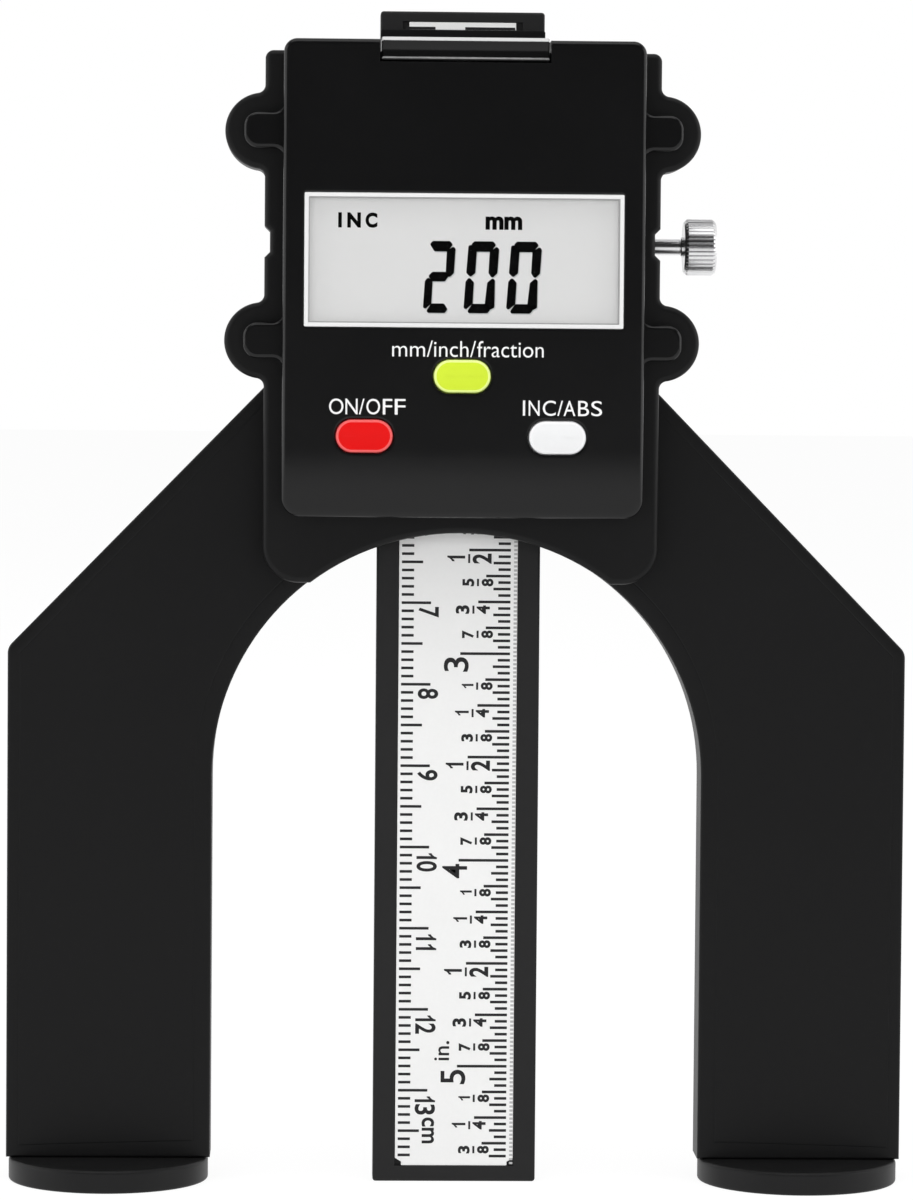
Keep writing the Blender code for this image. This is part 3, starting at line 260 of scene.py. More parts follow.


# The edge colours below change convex edges, mostly lighter: partly wear, partly a painted
# highlight along the rounded rims.
finishes = {
    "black_plastic": {**satinLook, "colour": (0.0058, 0.0058, 0.0060),
                      "wornAndHighlightEdge": (0.016, 0.016, 0.0165)},
    "barPlastic": {**satinLook, "colour": (0.0150, 0.0150, 0.0153),
                   "wornAndHighlightEdge": (0.024, 0.024, 0.0245)},
    "casing_plastic": {"colour": (0.0038, 0.0038, 0.0040), "wornAndHighlightEdge": (0.006, 0.006, 0.0063),
                       "roughness": 0.23, "specular": 0.31, "grain": 3200.0, "bump": 0.03,
                       "shade": 0.10, "wearAndHighlight": 0.6, "spread": 0.05, "dust": 0.03},
    # The next two finishes paint light grey highlights on the tray lip's chamfer and ledge.
    "chamferHighlight": {"colour": (0.62, 0.62, 0.62), "roughness": 0.18, "specular": 0.6,
                   "bump": 0.02, "wearAndHighlight": 0.0, "shade": 0.05},
    "ledgeHighlight": {"colour": (0.30, 0.30, 0.30), "roughness": 0.25, "specular": 0.4,
                  "bump": 0.05, "wearAndHighlight": 0.0, "shade": 0.3, "cloud": 500.0},
    "dark_nickel": {"colour": (0.0125, 0.0125, 0.0128), "wornAndHighlightEdge": (0.022, 0.022, 0.0225),
                    "metallic": 0.25, "roughness": 0.45, "specular": 0.2, "grain": 900.0,
                    "stretch": (1, 1, 12), "bump": 0.06, "wearAndHighlight": 0.6, "dust": 0.03},
    "magnet": {"colour": (0.33, 0.33, 0.34), "metallic": 1.0, "roughness": 0.32,
               "bump": 0.3, "grain": 1500.0},
    "steel": {"colour": (0.74, 0.74, 0.75), "wornAndHighlightEdge": (0.8, 0.8, 0.8), "metallic": 1.0,
              "roughness": 0.24, "grain": 1400.0, "stretch": (14, 1, 1), "bump": 0.12},
    "white_film": {"colour": (0.79, 0.79, 0.785), "roughness": 0.42, "specular": 0.35,
                   "shade": 0.025, "cloud": 90.0, "bump": 0.05, "wearAndHighlight": 0.25,
                   "wornAndHighlightEdge": (0.45, 0.45, 0.45), "dust": 0.10,
                   "dustColour": (0.62, 0.61, 0.60)},
    "copper_strip": {"colour": (0.72, 0.40, 0.24), "metallic": 1.0, "roughness": 0.34,
                     "stretch": (1, 1, 18), "bump": 0.2},
    "clear_window": {"colour": (0.02, 0.021, 0.021), "roughness": 0.06, "spread": 0.02,
                     "specular": 0.5, "alpha": 0.02, "wearAndHighlight": 0.2, "bump": 0.01,
                     "dust": 0.02},
    # The panel glows a little: painted light that evens out the shade near its edges.
    "display_glass": {"colour": (0.42, 0.42, 0.417), "roughness": 0.33, "specular": 0.3,
                      "glow": 0.25, "shade": 0.02, "grain": 6000.0, "cloud": 45.0, "bump": 0.04,
                      "wearAndHighlight": 0.1, "dust": 0.0},
    "contact_rubber": {"colour": (0.14, 0.14, 0.15), "roughness": 0.6,
                       "stretch": (22, 1, 1), "grain": 900.0, "bump": 0.4},
    "board": {"colour": (0.025, 0.15, 0.062), "roughness": 0.36, "grain": 700.0,
              "shade": 0.28, "bump": 0.2, "wornAndHighlightEdge": (0.35, 0.34, 0.22), "wearAndHighlight": 0.8},
    "chip_resin": {"colour": (0.012, 0.012, 0.012), "roughness": 0.24, "bump": 0.2,
                   "grain": 800.0, "wornAndHighlightEdge": (0.05, 0.05, 0.05)},
    "switch_plastic": {"colour": (0.028, 0.028, 0.029), "roughness": 0.5, "bump": 0.3},
    "cell_can": {"colour": (0.66, 0.66, 0.65), "metallic": 1.0, "roughness": 0.24,
                 "grain": 1100.0, "stretch": (8, 1, 1), "bump": 0.12, "dust": 0.12},
    "spring_bronze": {"colour": (0.70, 0.48, 0.28), "metallic": 1.0, "roughness": 0.3,
                      "stretch": (1, 1, 14), "bump": 0.15},
    "brass": {"colour": (0.75, 0.57, 0.27), "metallic": 1.0, "roughness": 0.3,
              "stretch": (12, 1, 1), "bump": 0.15},
    "nylon": {"colour": (0.74, 0.73, 0.69), "roughness": 0.5, "bump": 0.2},
    # The rim finishes are lighter copies of the cap colours: a painted highlight round each
    # button's rim.
    "yellow_green": {**capLook, "colour": (0.575, 0.735, 0.030), "specular": 0.2},
    "yellowGreenRimHighlight": {**capRimLook, "colour": (0.74, 0.88, 0.26)},
    "red": {**capLook, "colour": (0.68, 0.002, 0.002), "wornAndHighlightEdge": (0.8, 0.05, 0.05),
            "specular": 0.12, "dust": 0.02},
    "redRimHighlight": {**capRimLook, "colour": (0.80, 0.10, 0.10), "wornAndHighlightEdge": (0.9, 0.3, 0.3)},
    "button_white": {**capLook, "colour": (0.745, 0.75, 0.755), "specular": 0.3,
                     "shade": 0.02},
    "whiteRimHighlight": {**capRimLook, "colour": (0.80, 0.80, 0.81), "shade": 0.02},
    "blackInk": {**inkLook, "colour": (0.014, 0.014, 0.015), "specular": 0.25,
                 "shade": 0.2},
    "whiteInk": {**inkLook, "colour": (0.80, 0.80, 0.80), "specular": 0.3, "shade": 0.04},
    "greyInk": {**inkLook, "colour": (0.42, 0.42, 0.42), "specular": 0.3, "shade": 0.1,
                "dust": 0.06},
    "displayInk": {**panelInkLook, "colour": (0.0012, 0.0012, 0.0012), "specular": 0.03},
    "displayLine": {**panelInkLook, "colour": (0.33, 0.33, 0.33), "specular": 0.1},
    "displayShadow": {**panelInkLook, "colour": (0.46, 0.47, 0.47), "specular": 0.2,
                      "shade": 0.02},
    "bezelWhite": {"colour": (0.72, 0.72, 0.72), "wornAndHighlightEdge": (0.84, 0.84, 0.84),
                   "roughness": 0.4, "specular": 0.35, "bump": 0.08, "shade": 0.02,
                   "wearAndHighlight": 0.4},
}
finishes = {name: makeFinish(name, look) for name, look in finishes.items()}
print("finishes made:", len(finishes))


# Outlines in X and Z, and the meshes made from them
def roundedOutline(corners, step=4.0):
    # Corners are (x, z, radius); a corner with a radius becomes an arc.
    points = []
    count = len(corners)
    for number, (x, z, radius) in enumerate(corners):
        here = Vector((x, z))
        if radius <= 0:
            points.append(here)
            continue
        before = (Vector(corners[number - 1][:2]) - here).normalized()
        after = (Vector(corners[(number + 1) % count][:2]) - here).normalized()
        half = before.angle(after) / 2
        centre = here + (before + after).normalized() * radius / math.sin(half)
        first = here + before * radius / math.tan(half) - centre
        turn = first.angle_signed(here + after * radius / math.tan(half) - centre)
        pieces = max(3, math.ceil(abs(math.degrees(turn)) / step))
        angle = math.atan2(first.y, first.x)
        for piece in range(pieces + 1):
            along = angle - turn * piece / pieces
            points.append(centre + Vector((math.cos(along), math.sin(along))) * radius)
    return cleanLoop(points)


def cleanLoop(points):
    clean = []
    for point in points:
        if not clean or (point - clean[-1]).length > 1e-4:
            clean.append(point)
    if (clean[0] - clean[-1]).length < 1e-4:
        clean.pop()
    return clean


def boxOutline(width, height, centre, radius=0.0, step=6.0):
    x, z = centre
    corners = [(x - width / 2, z - height / 2), (x + width / 2, z - height / 2),
               (x + width / 2, z + height / 2), (x - width / 2, z + height / 2)]
    return roundedOutline([(a, b, radius) for a, b in corners], step)


def bothSides(rightHalf):
    # A full outline from its right half, listed from the bottom to the top.
    return rightHalf + [(-x, z, r) for x, z, r in reversed(rightHalf)]


def loopArea(points):
    return sum(a.x * b.y - b.x * a.y for a, b in zip(points, points[1:] + points[:1])) / 2


def turned(points, left=True):
    return points if (loopArea(points) > 0) == left else points[::-1]


def shiftedLoop(points, distance):
    # The loop moved to its left; distance is one number or one for each point.
    count = len(points)
    amounts = distance if isinstance(distance, list) else [distance] * count
    moved = []
    for number, here in enumerate(points):
        before = (here - points[number - 1]).normalized()
        after = (points[(number + 1) % count] - here).normalized()
        sideA = Vector((-before.y, before.x))
        sideB = Vector((-after.y, after.x))
        middle = (sideA + sideB).normalized()
        moved.append(here + middle * amounts[number] / max(0.35, middle.dot(sideB)))
    return moved


def addRing(shape, points, depth):
    return [shape.verts.new((p.x * mm, depth * mm, p.y * mm)) for p in points]


def bridgeRings(shape, rings):
    for first, second in zip(rings, rings[1:]):
        for number in range(len(first)):
            after = (number + 1) % len(first)
            shape.faces.new((first[number], first[after], second[after], second[number]))


def fillCap(shape, rings):
    if len(rings) == 1:
        shape.faces.new(rings[0])
        return
    corners = [vert for ring in rings for vert in ring]
    for triangle in tessellate_polygon([[v.co for v in ring] for ring in rings]):
        if len(set(triangle)) == 3:
            shape.faces.new([corners[number] for number in triangle])


def fanCap(shape, ring):
    # A bulging face closed by triangles round its middle.
    middle = shape.verts.new(sum((v.co for v in ring), Vector()) / len(ring))
    for number, vert in enumerate(ring):
        shape.faces.new((vert, ring[(number + 1) % len(ring)], middle))


def quarterTurn(pieces):
    return [math.pi / 2 * number / pieces for number in range(pieces + 1)]


def rimPath(radius, face, inward, steps=5):
    # (inset, depth) pairs from a flat face, round its rim, to the side wall.
    if radius <= 0:
        return [(0.0, face)]
    return [(radius * (1 - math.sin(turn)), face + inward * radius * (1 - math.cos(turn)))
            for turn in quarterTurn(steps)]


def wallRings(shape, loop, path):
    return [addRing(shape, shiftedLoop(loop, inset), depth) for inset, depth in path]


def slab(outer, front, back, holes=(), frontRim=0.0, backRim=0.0, holeRim=0.0, shape=None):
    # A plate between two depths, with rounded rims and optional holes.
    shape = shape or bmesh.new()
    frontCap, backCap = [], []
    loops = [turned(outer)] + [turned(hole, False) for hole in holes]
    for number, loop in enumerate(loops):
        path = rimPath(holeRim if number else frontRim, front, 1)
        path += rimPath(0 if number else backRim, back, -1)[::-1]
        rings = wallRings(shape, loop, path)
        bridgeRings(shape, rings)
        frontCap.append(rings[0])
        backCap.append(rings[-1])
    fillCap(shape, frontCap)
    fillCap(shape, backCap)
    return shape


def latheShape(profile, centre, axis, steps=96, closed=False, shape=None):
    # A profile of (radius, distance along the axis) turned round an axis.
    shape = shape or bmesh.new()
    direction = Vector(axis).normalized()
    side = direction.orthogonal().normalized()
    other = direction.cross(side)
    rings = []
    for radius, along in profile:
        base = (Vector(centre) + direction * along) * mm
        if radius <= 0:
            rings.append([shape.verts.new(base)])
            continue
        angles = [2 * math.pi * number / steps for number in range(steps)]
        rings.append([shape.verts.new(base + (side * math.cos(a) + other * math.sin(a))
                                      * radius * mm) for a in angles])
    pairs = list(zip(rings, rings[1:])) + ([(rings[-1], rings[0])] if closed else [])
    for first, second in pairs:
        for number in range(steps):
            after = (number + 1) % steps
            if len(first) == 1:
                shape.faces.new((first[0], second[number], second[after]))
            elif len(second) == 1:
                shape.faces.new((first[number], second[0], first[after]))
            else:
                shape.faces.new((first[number], second[number], second[after],
                                 first[after]))
    return shape


def smoothShading(mesh, crease=28.0):
    mesh.shade_smooth()
    mesh.set_sharp_from_angle(angle=math.radians(crease))


def makePiece(name, shape, finish=None, crease=28.0):
    bmesh.ops.remove_doubles(shape, verts=shape.verts, dist=1e-8)
    bmesh.ops.recalc_face_normals(shape, faces=shape.faces)
    mesh = bpy.data.meshes.new(name)
    shape.to_mesh(mesh)
    shape.free()
    smoothShading(mesh, crease)
    if finish:
        mesh.materials.append(finishes[finish])
    return linked(name, mesh)


def settle(piece):
    # The piece's modifiers made part of its mesh.
    bpy.context.view_layer.update()
    solved = piece.evaluated_get(bpy.context.evaluated_depsgraph_get())
    mesh = bpy.data.meshes.new_from_object(solved)
    piece.modifiers.clear()
    piece.data = mesh
    return piece


def carve(piece, cutters, operation="DIFFERENCE"):
    for cutter in cutters:
        change = piece.modifiers.new(cutter.name, "BOOLEAN")
        change.object = cutter
        change.operation = operation
        change.solver = "EXACT"
    settle(piece)
    for cutter in cutters:
        bpy.data.objects.remove(cutter, do_unlink=True)
    return piece


def evenNormals(piece, crease=28.0):
    # Flat faces stay flat beside their rounded rims.
    smoothShading(piece.data, crease)
    even = piece.modifiers.new("evenNormals", "WEIGHTED_NORMAL")
    even.keep_sharp = True
    even.weight = 90
    return settle(piece)


def blockCutter(name, low, high):
    outline = [Vector((low[0], low[2])), Vector((high[0], low[2])),
               Vector((high[0], high[2])), Vector((low[0], high[2]))]
    return makePiece(name, slab(outline, low[1], high[1]))


def rodCutter(name, radius, start, axis, length):
    return makePiece(name, latheShape([(0, 0), (radius, 0), (radius, length), (0, length)],
                                      start, axis, 48))


def place(piece, body, slot, *replaced):
    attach(piece, body)
    if replaced:
        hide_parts(*replaced)
    return piece


def dress(name, shape, finish, body, slot, *replaced):
    # A finished piece from its shape, riding its body in place of its solid.
    return place(evenNormals(makePiece(name, shape, finish)), body, slot, *replaced)


def middleOf(node):
    low, high = span(node)
    return (low + high) / 2


# Geometry Nodes
def geometryTree(name, inputs):
    return newGroup(name, "GeometryNodeTree",
                    [("Geometry", "NodeSocketGeometry", None)] + inputs
                    + [("Material", "NodeSocketMaterial", None)],
                    [("Geometry", "NodeSocketGeometry")])


def closeTree(tree, start, end, geometry):
    real = addNode(tree, "GeometryNodeRealizeInstances", {0: geometry})
    painted = addNode(tree, "GeometryNodeSetMaterial", {0: real.outputs[0],
                                                       "Material": start.outputs["Material"]})
    wire(tree, painted.outputs[0], end.inputs[0])


def runTree(name, tree, values, mesh=None):
    piece = linked(name, mesh or bpy.data.meshes.new(name))
    build = piece.modifiers.new(tree.name, "NODES")
    build.node_group = tree
    for item in tree.interface.items_tree:
        if item.item_type == "SOCKET" and item.in_out == "INPUT" and item.name in values:
            build[item.identifier] = values[item.name]
    return settle(piece)


def joinPieces(name, pieces):
    # Several meshes made one, with every material kept.
    shape = bmesh.new()
    materials = []
    for piece in pieces:
        first = len(shape.faces)
        shape.from_mesh(piece.data)
        shape.faces.ensure_lookup_table()
        shift = len(materials)
        for face in shape.faces[first:]:
            face.material_index += shift
        materials += list(piece.data.materials)
        bpy.data.objects.remove(piece, do_unlink=True)
    mesh = bpy.data.meshes.new(name)
    shape.to_mesh(mesh)
    shape.free()
    for material in materials:
        mesh.materials.append(material)
    return linked(name, mesh)


print("tools ready")


# Stand: arch, legs and neck
frameLow, frameHigh = span("base_frame")
shellLow, shellHigh = span("rear_shell")
casingLow, casingHigh = span("front_casing")
barLow, barHigh = span("ruler_bar")
knobLow, knobHigh = span("lock_screw")
cornerScrews = {kind: [f"{kind}_screw_{number}" for number in (1, 2, 3, 4)]
                for kind in ("shell", "casing")}
footScrews = ["foot_screw_left", "foot_screw_right"]

standLook = {"halfArch": 30.0, "archTop": 80.0, "shoulder": 65.5, "slope": 45.8,
             "shoulderRound": 1.8, "neckHalf": 23.0, "neckRound": 3.0,
             "outerBand": 1.35, "innerBand": 1.95, "grooveWidth": 0.16,
             "grooveDepth": 0.07, "bandDrop": 0.10, "rim": 0.42, "backRim": 1.3,
             "pocketMargin": 4.0, "pocketDepth": 0.8, "channelHalf": 10.15,
             "channelFloor": 0.9, "channelLow": 51.0, "barTravel": 80.0, "stopRoom": 0.3,
             "reliefLow": 72.0, "footBore": 1.65, "footBoreDepth": 9.6, "headBore": 1.95,
             "headSink": 1.7, "padBore": 1.45, "shankBore": 1.2, "room": 0.1,
             "beyond": 10.0}


def standOutline(look):
    rise = (frameHigh.x - look["neckHalf"]) * math.tan(math.radians(look["slope"]))
    right = [(look["halfArch"], frameLow.z, 0), (frameHigh.x, frameLow.z, 0),
             (frameHigh.x, look["shoulder"], look["shoulderRound"]),
             (look["neckHalf"], look["shoulder"] + rise, 0),
             (look["neckHalf"], frameHigh.z, look["neckRound"])]
    left = [(-x, z, r) for x, z, r in reversed(right)]
    arch = [(-look["halfArch"], look["archTop"], look["halfArch"]),
            (look["halfArch"], look["archTop"], look["halfArch"])]
    return turned(roundedOutline(right + left + arch, 2.5))


def bandWidths(points, look):
    # The rim band is wider round the inside of the arch than outside.
    reach = look["halfArch"] + 0.01
    return [look["innerBand"] if abs(p.x) < reach and p.y < look["archTop"] + 0.01
            else look["outerBand"] for p in points]


def makeStand(look):
    outline = standOutline(look)
    band = bandWidths(outline, look)
    front = frameLow.y
    groove = look["grooveWidth"]
    shape = bmesh.new()
    steps = [([w + 2 * groove for w in band], front),
             ([w + groove for w in band], front + look["grooveDepth"]),
             (band, front + look["grooveDepth"] * 0.2),
             ([0.6 * w for w in band], front + look["bandDrop"] * 0.45),
             (look["rim"], front + look["bandDrop"])]
    steps += [(inset, depth + look["bandDrop"])
              for inset, depth in rimPath(look["rim"], front, 1)[1:]]
    steps += rimPath(look["backRim"], frameHigh.y, -1)[::-1]
    rings = wallRings(shape, outline, steps)
    bridgeRings(shape, rings)
    fillCap(shape, [rings[0]])
    fillCap(shape, [rings[-1]])
    stand = makePiece("stand", shape, "black_plastic")
    half, beyond, room = look["channelHalf"], look["beyond"], look["room"]
    tipLow, tipHigh = span("bar_stop_tip")
    nutLow, nutHigh = span("lock_nut")
    springLow, springHigh = span("guide_spring")
    stop = look["stopRoom"]
    cutters = [blockCutter("channel", (-half, front - beyond, look["channelLow"]),
                           (half, look["channelFloor"], frameHigh.z + beyond)),
               blockCutter("stopRelief",
                           (tipLow.x - stop, look["channelFloor"] - 1, look["reliefLow"]),
                           (tipHigh.x + stop, tipHigh.y + stop,
                            tipHigh.z + look["barTravel"] + room))]
    margin = look["pocketMargin"]
    for side in (-1, 1):
        middle = side * (look["halfArch"] + frameHigh.x) / 2
        tall = look["shoulder"] - frameLow.z - 2 * margin
        pocket = boxOutline(frameHigh.x - look["halfArch"] - 2 * margin, tall,
                            (middle, frameLow.z + margin + tall / 2), margin / 2)
        cutters.append(makePiece("pocket", slab(pocket, frameHigh.y - look["pocketDepth"],
                                                frameHigh.y + beyond)))
        cutters.append(rodCutter("footBore", look["footBore"], (middle, 0, 0), (0, 0, 1),
                                 look["footBoreDepth"]))
    for screw in cornerScrews["shell"]:
        middle = middleOf(screw)
        cutters.append(rodCutter("headBore", look["headBore"],
                                 (middle.x, frameHigh.y - look["headSink"], middle.z),
                                 (0, 1, 0), beyond))
    padLow, padHigh = span("lock_pad")
    axis = middleOf("lock_pad")
    cutters.append(rodCutter("lockBore", look["padBore"], (padLow.x - 2, axis.y, axis.z),
                             (1, 0, 0), 8))
    cutters.append(rodCutter("shankBore", look["shankBore"], (padHigh.x, axis.y, axis.z),
                             (1, 0, 0), 2 * beyond))
    cutters.append(blockCutter("nutRoom", (nutLow.x - room, front - 2, nutLow.z - room),
                               (nutHigh.x + room, nutHigh.y + room, nutHigh.z + room)))
    cutters.append(blockCutter("springRoom",
                               (springLow.x - room, front - 2, springLow.z - 2 * room),
                               (-half + room, springHigh.y + room,
                                springHigh.z + 2 * room)))
    carve(stand, cutters)
    return place(evenNormals(stand), "base", "black_plastic", "base_frame")


stand = makeStand(standLook)
print("stand:", len(stand.data.polygons), "faces")


# Rear shell: the pad with four lobes
padLook = {"half": 23.9, "lobeRadius": 4.6, "lobeOut": 0.2, "fillet": 1.0,
           "upperLobe": 128.3, "lowerLobe": 103.1, "bottomRound": 4.3, "topRound": 1.0,
           "rim": 0.75, "notchHeight": 3.8, "notchDepth": 0.65, "lock": 115.0,
           "lipHalf": 10.0, "lipTop": 141.0, "lipDepth": 1.2, "padTop": 138.0,
           "cavity": 20.35, "cavityLow": 83.3, "cavityStep": 127.7, "cavityHigh": 136.7,
           "upperCavity": 11.0, "floor": -3.45, "slotHalf": 10.2, "slotBack": -7.75,
           "slotLow": 131.7, "windowHalf": 8.5, "windowLow": 87.0, "windowHigh": 125.0,
           "screwRoom": 1.95, "screwSink": 1.7, "backRim": 0.25, "lipRim": 0.05,
           "beyond": 8.0}


def lobePoints(look, middle):
    # A round lobe on the side wall, joined to it by two fillets.
    out, fillet = look["lobeOut"], look["fillet"]
    reach = look["lobeRadius"] + fillet
    rise = math.sqrt(reach ** 2 - (out - fillet) ** 2)
    touch = math.atan2(rise, fillet - out)
    pieces = 24
    points = []
    for number in range(pieces // 2 + 1):
        angle = math.pi - touch * number / (pieces // 2)
        points.append(Vector((look["half"] + fillet + fillet * math.cos(angle),
                              -rise + fillet * math.sin(angle))))
    for number in range(1, 2 * pieces):
        angle = -touch + touch * number / pieces
        points.append(Vector((look["half"] + out + look["lobeRadius"] * math.cos(angle),
                              look["lobeRadius"] * math.sin(angle))))
    upper = [Vector((p.x, -p.y)) for p in reversed(points[:pieces // 2 + 1])]
    return [Vector((p.x, middle + p.y)) for p in points + upper]


def padOutline(look, archHalf, archTop):
    half = look["half"]
    low = shellLow.z
    centre = archTop - archHalf
    meet = math.sqrt(archHalf ** 2 - (low - centre) ** 2)
    first = math.atan2(low - centre, meet)
    arch = []
    pieces = 14
    for number in range(pieces + 1):
        angle = math.pi / 2 + (first - math.pi / 2) * number / pieces
        arch.append(Vector((archHalf * math.cos(angle), centre + archHalf * math.sin(angle))))
    corner = roundedOutline([(meet, low, 0), (half, low, look["bottomRound"]),
                             (half, low + 2 * look["bottomRound"], 0)])[1:-1]
    notchLow = look["lock"] - look["notchHeight"] / 2
    notchHigh = look["lock"] + look["notchHeight"] / 2
    deep = look["notchDepth"]
    notch = [Vector((half, notchLow)), Vector((half - deep, notchLow + deep)),
             Vector((half - deep, notchHigh - deep)), Vector((half, notchHigh))]
    cap = roundedOutline([(half, look["upperLobe"] + 6, 0),
                          (half, look["padTop"], look["topRound"]),
                          (0, look["padTop"], 0)])[1:-1]
    right = arch[1:] + corner + lobePoints(look, look["lowerLobe"]) + notch
    right += lobePoints(look, look["upperLobe"]) + cap
    left = [Vector((-p.x, p.y)) for p in reversed(right)]
    return turned(cleanLoop([arch[0]] + right + left))


def lobeCentres(look):
    side = look["half"] + look["lobeOut"]
    return [(x, z) for z in (look["upperLobe"], look["lowerLobe"]) for x in (-side, side)]


def makePad(look):
    outline = padOutline(look, standLook["halfArch"], standLook["archTop"])
    front, back = shellLow.y, shellHigh.y
    shape = slab(outline, front, back, frontRim=look["rim"], backRim=look["backRim"])
    pad = makePiece("rearShell", shape, "black_plastic")
    beyond, floor = look["beyond"], look["floor"]
    blocks = {"cavity": (look["cavity"], floor, look["cavityLow"], look["cavityStep"]),
              "cavityTop": (look["upperCavity"], floor, look["cavityStep"] - 1,
                            look["cavityHigh"]),
              "traySlot": (look["slotHalf"], look["slotBack"], look["slotLow"],
                           look["padTop"] + beyond)}
    cutters = [blockCutter(name, (-half, front - beyond, low), (half, deep, high))
               for name, (half, deep, low, high) in blocks.items()]
    half = look["windowHalf"]
    cutters.append(blockCutter("sensorWindow", (-half, floor - 1, look["windowLow"]),
                               (half, back + beyond, look["windowHigh"])))
    for x, z in lobeCentres(look):
        cutters.append(rodCutter("screwRoom", look["screwRoom"],
                                 (x, back - look["screwSink"], z), (0, 1, 0), beyond))
    carve(pad, cutters)
    half = look["lipHalf"]
    lip = boxOutline(2 * half, look["lipTop"] - look["padTop"] + 2,
                     (0, (look["lipTop"] + look["padTop"] - 2) / 2), 0.3)
    lipPiece = makePiece("indexLip", slab(lip, back - look["lipDepth"], back,
                                          frontRim=look["lipRim"]), "black_plastic")
    carve(pad, [lipPiece], "UNION")
    return place(evenNormals(pad), "base", "black_plastic", "rear_shell")


pad = makePad(padLook)
print("rear shell:", len(pad.data.polygons), "faces")


# Front casing: display housing with its ears
casingLook = {"half": 21.65, "rim": 0.65, "topRound": 1.6, "bottomRound": 2.2,
              "flatStrip": 0.2, "leanTop": 90.3, "leanCurve": 5.0, "leanSlope": 0.087,
              "wall": 1.3, "windowWidth": 38.3, "windowHeight": 16.1,
              "window": (0.0, 112.75), "holeRim": 0.16, "earHalf": 2.15,
              "earRound": 1.7, "earReach": 2.3, "earDepth": 2.1, "earFlare": 1.0,
              "earSweep": 1.25, "earRim": 0.5, "lipLow": 136.35, "buttonWidth": 7.05,
              "buttonHeight": 4.15}
buttons = {"unit": {"place": (-0.15, 98.96), "finish": "yellow_green",
                    "rimHighlightFinish": "yellowGreenRimHighlight"},
           "power": {"place": (-11.8, 91.74), "finish": "red", "rimHighlightFinish": "redRimHighlight"},
           "mode": {"place": (11.3, 91.7), "finish": "button_white",
                    "rimHighlightFinish": "whiteRimHighlight"}}


def casingOutline(look, inset=0.0):
    half = look["half"] - inset
    low, high = casingLow.z + inset, casingHigh.z - inset
    return roundedOutline([(-half, low, look["bottomRound"] - inset / 2),
                           (half, low, look["bottomRound"] - inset / 2),
                           (half, high, look["topRound"] - inset / 2),
                           (-half, high, look["topRound"] - inset / 2)])


def earOutline(look, side, middle):
    wall, half, flare = look["half"], look["earHalf"], look["earFlare"]
    tip = padLook["half"] + padLook["lobeOut"] + look["earReach"]
    inside = wall - look["wall"] / 2
    # the concave corners sweep out of the casing's wall
    right = [(wall + flare * (1 - math.cos(turn)) * look["earSweep"],
              half + flare * (1 - math.sin(turn))) for turn in quarterTurn(8)]
    tongue = roundedOutline([(wall, -half, 0), (tip, -half, look["earRound"]),
                             (tip, half, look["earRound"]), (wall, half, 0)])[1:-1]
    lower = [Vector((x, -z)) for x, z in right]
    upper = [Vector((x, z)) for x, z in reversed(right)]
    points = [Vector((inside, -half - flare))] + lower + tongue + upper
    points.append(Vector((inside, half + flare)))
    return cleanLoop([Vector((side * p.x, middle + p.y)) for p in points])


def leanBack(shape, look, front, back):
    # The face bends back a little below the buttons, down to the lower edge.
    top, curved, slope = look["leanTop"], look["leanCurve"], look["leanSlope"]
    for number in range(8):
        height = top - curved * number / 7
        bmesh.ops.bisect_plane(shape, geom=shape.verts[:] + shape.edges[:] + shape.faces[:],
                               plane_co=(0, 0, height * mm), plane_no=(0, 0, 1))
    for vert in shape.verts:
        below = top - vert.co.z / mm
        if below > 0:
            bend = min(below, curved)
            drop = slope * (bend ** 2 / (2 * curved) + max(0, below - curved))
            vert.co.y += drop * (back - vert.co.y / mm) / (back - front) * mm


def makeCasing(look):
    front, back = casingLow.y, casingHigh.y
    inside = front + look["wall"]
    outer = turned(casingOutline(look))
    inner = turned(casingOutline(look, look["wall"]), False)
    holes = [boxOutline(look["windowWidth"], look["windowHeight"], look["window"], 0.5)]
    for button in buttons.values():
        holes.append(boxOutline(look["buttonWidth"], look["buttonHeight"], button["place"],
                                look["buttonHeight"] / 2 - 0.01))
    shape = bmesh.new()
    flat = look["flatStrip"]
    outerRings = wallRings(shape, outer, [(look["rim"] + flat, front)]
                           + rimPath(look["rim"], front, 1, 7) + [(0, back)])
    innerRings = wallRings(shape, inner, [(0, inside), (0, back)])
    frontCap, insideCap = [outerRings[0]], [innerRings[0]]
    bridgeRings(shape, outerRings)
    bridgeRings(shape, innerRings)
    for hole in holes:
        rings = wallRings(shape, turned(hole, False), [(look["holeRim"] + flat, front)]
                          + rimPath(look["holeRim"], front, 1, 3) + [(0, inside)])
        bridgeRings(shape, rings)
        frontCap.append(rings[0])
        insideCap.append(rings[-1])
    fillCap(shape, frontCap)
    fillCap(shape, insideCap)
    fillCap(shape, [outerRings[-1], innerRings[-1]])
    leanBack(shape, look, front, back)
    casing = makePiece("frontCasing", shape, "casing_plastic")
    slot = padLook["slotHalf"]
    carve(casing, [blockCutter("lipSlot", (-slot, front - 5, look["lipLow"]),
                               (slot, back + 5, casingHigh.z + 5))])
    ears = []
    for x, z in lobeCentres(padLook):
        side = 1 if x > 0 else -1
        ears.append(makePiece("ear", slab(earOutline(look, side, z),
                                          back - look["earDepth"], back,
                                          frontRim=look["earRim"]), "casing_plastic"))
    carve(casing, ears, "UNION")
    return place(evenNormals(casing), "base", "casing_plastic", "front_casing")


casing = makeCasing(casingLook)
print("front casing:", len(casing.data.polygons), "faces")


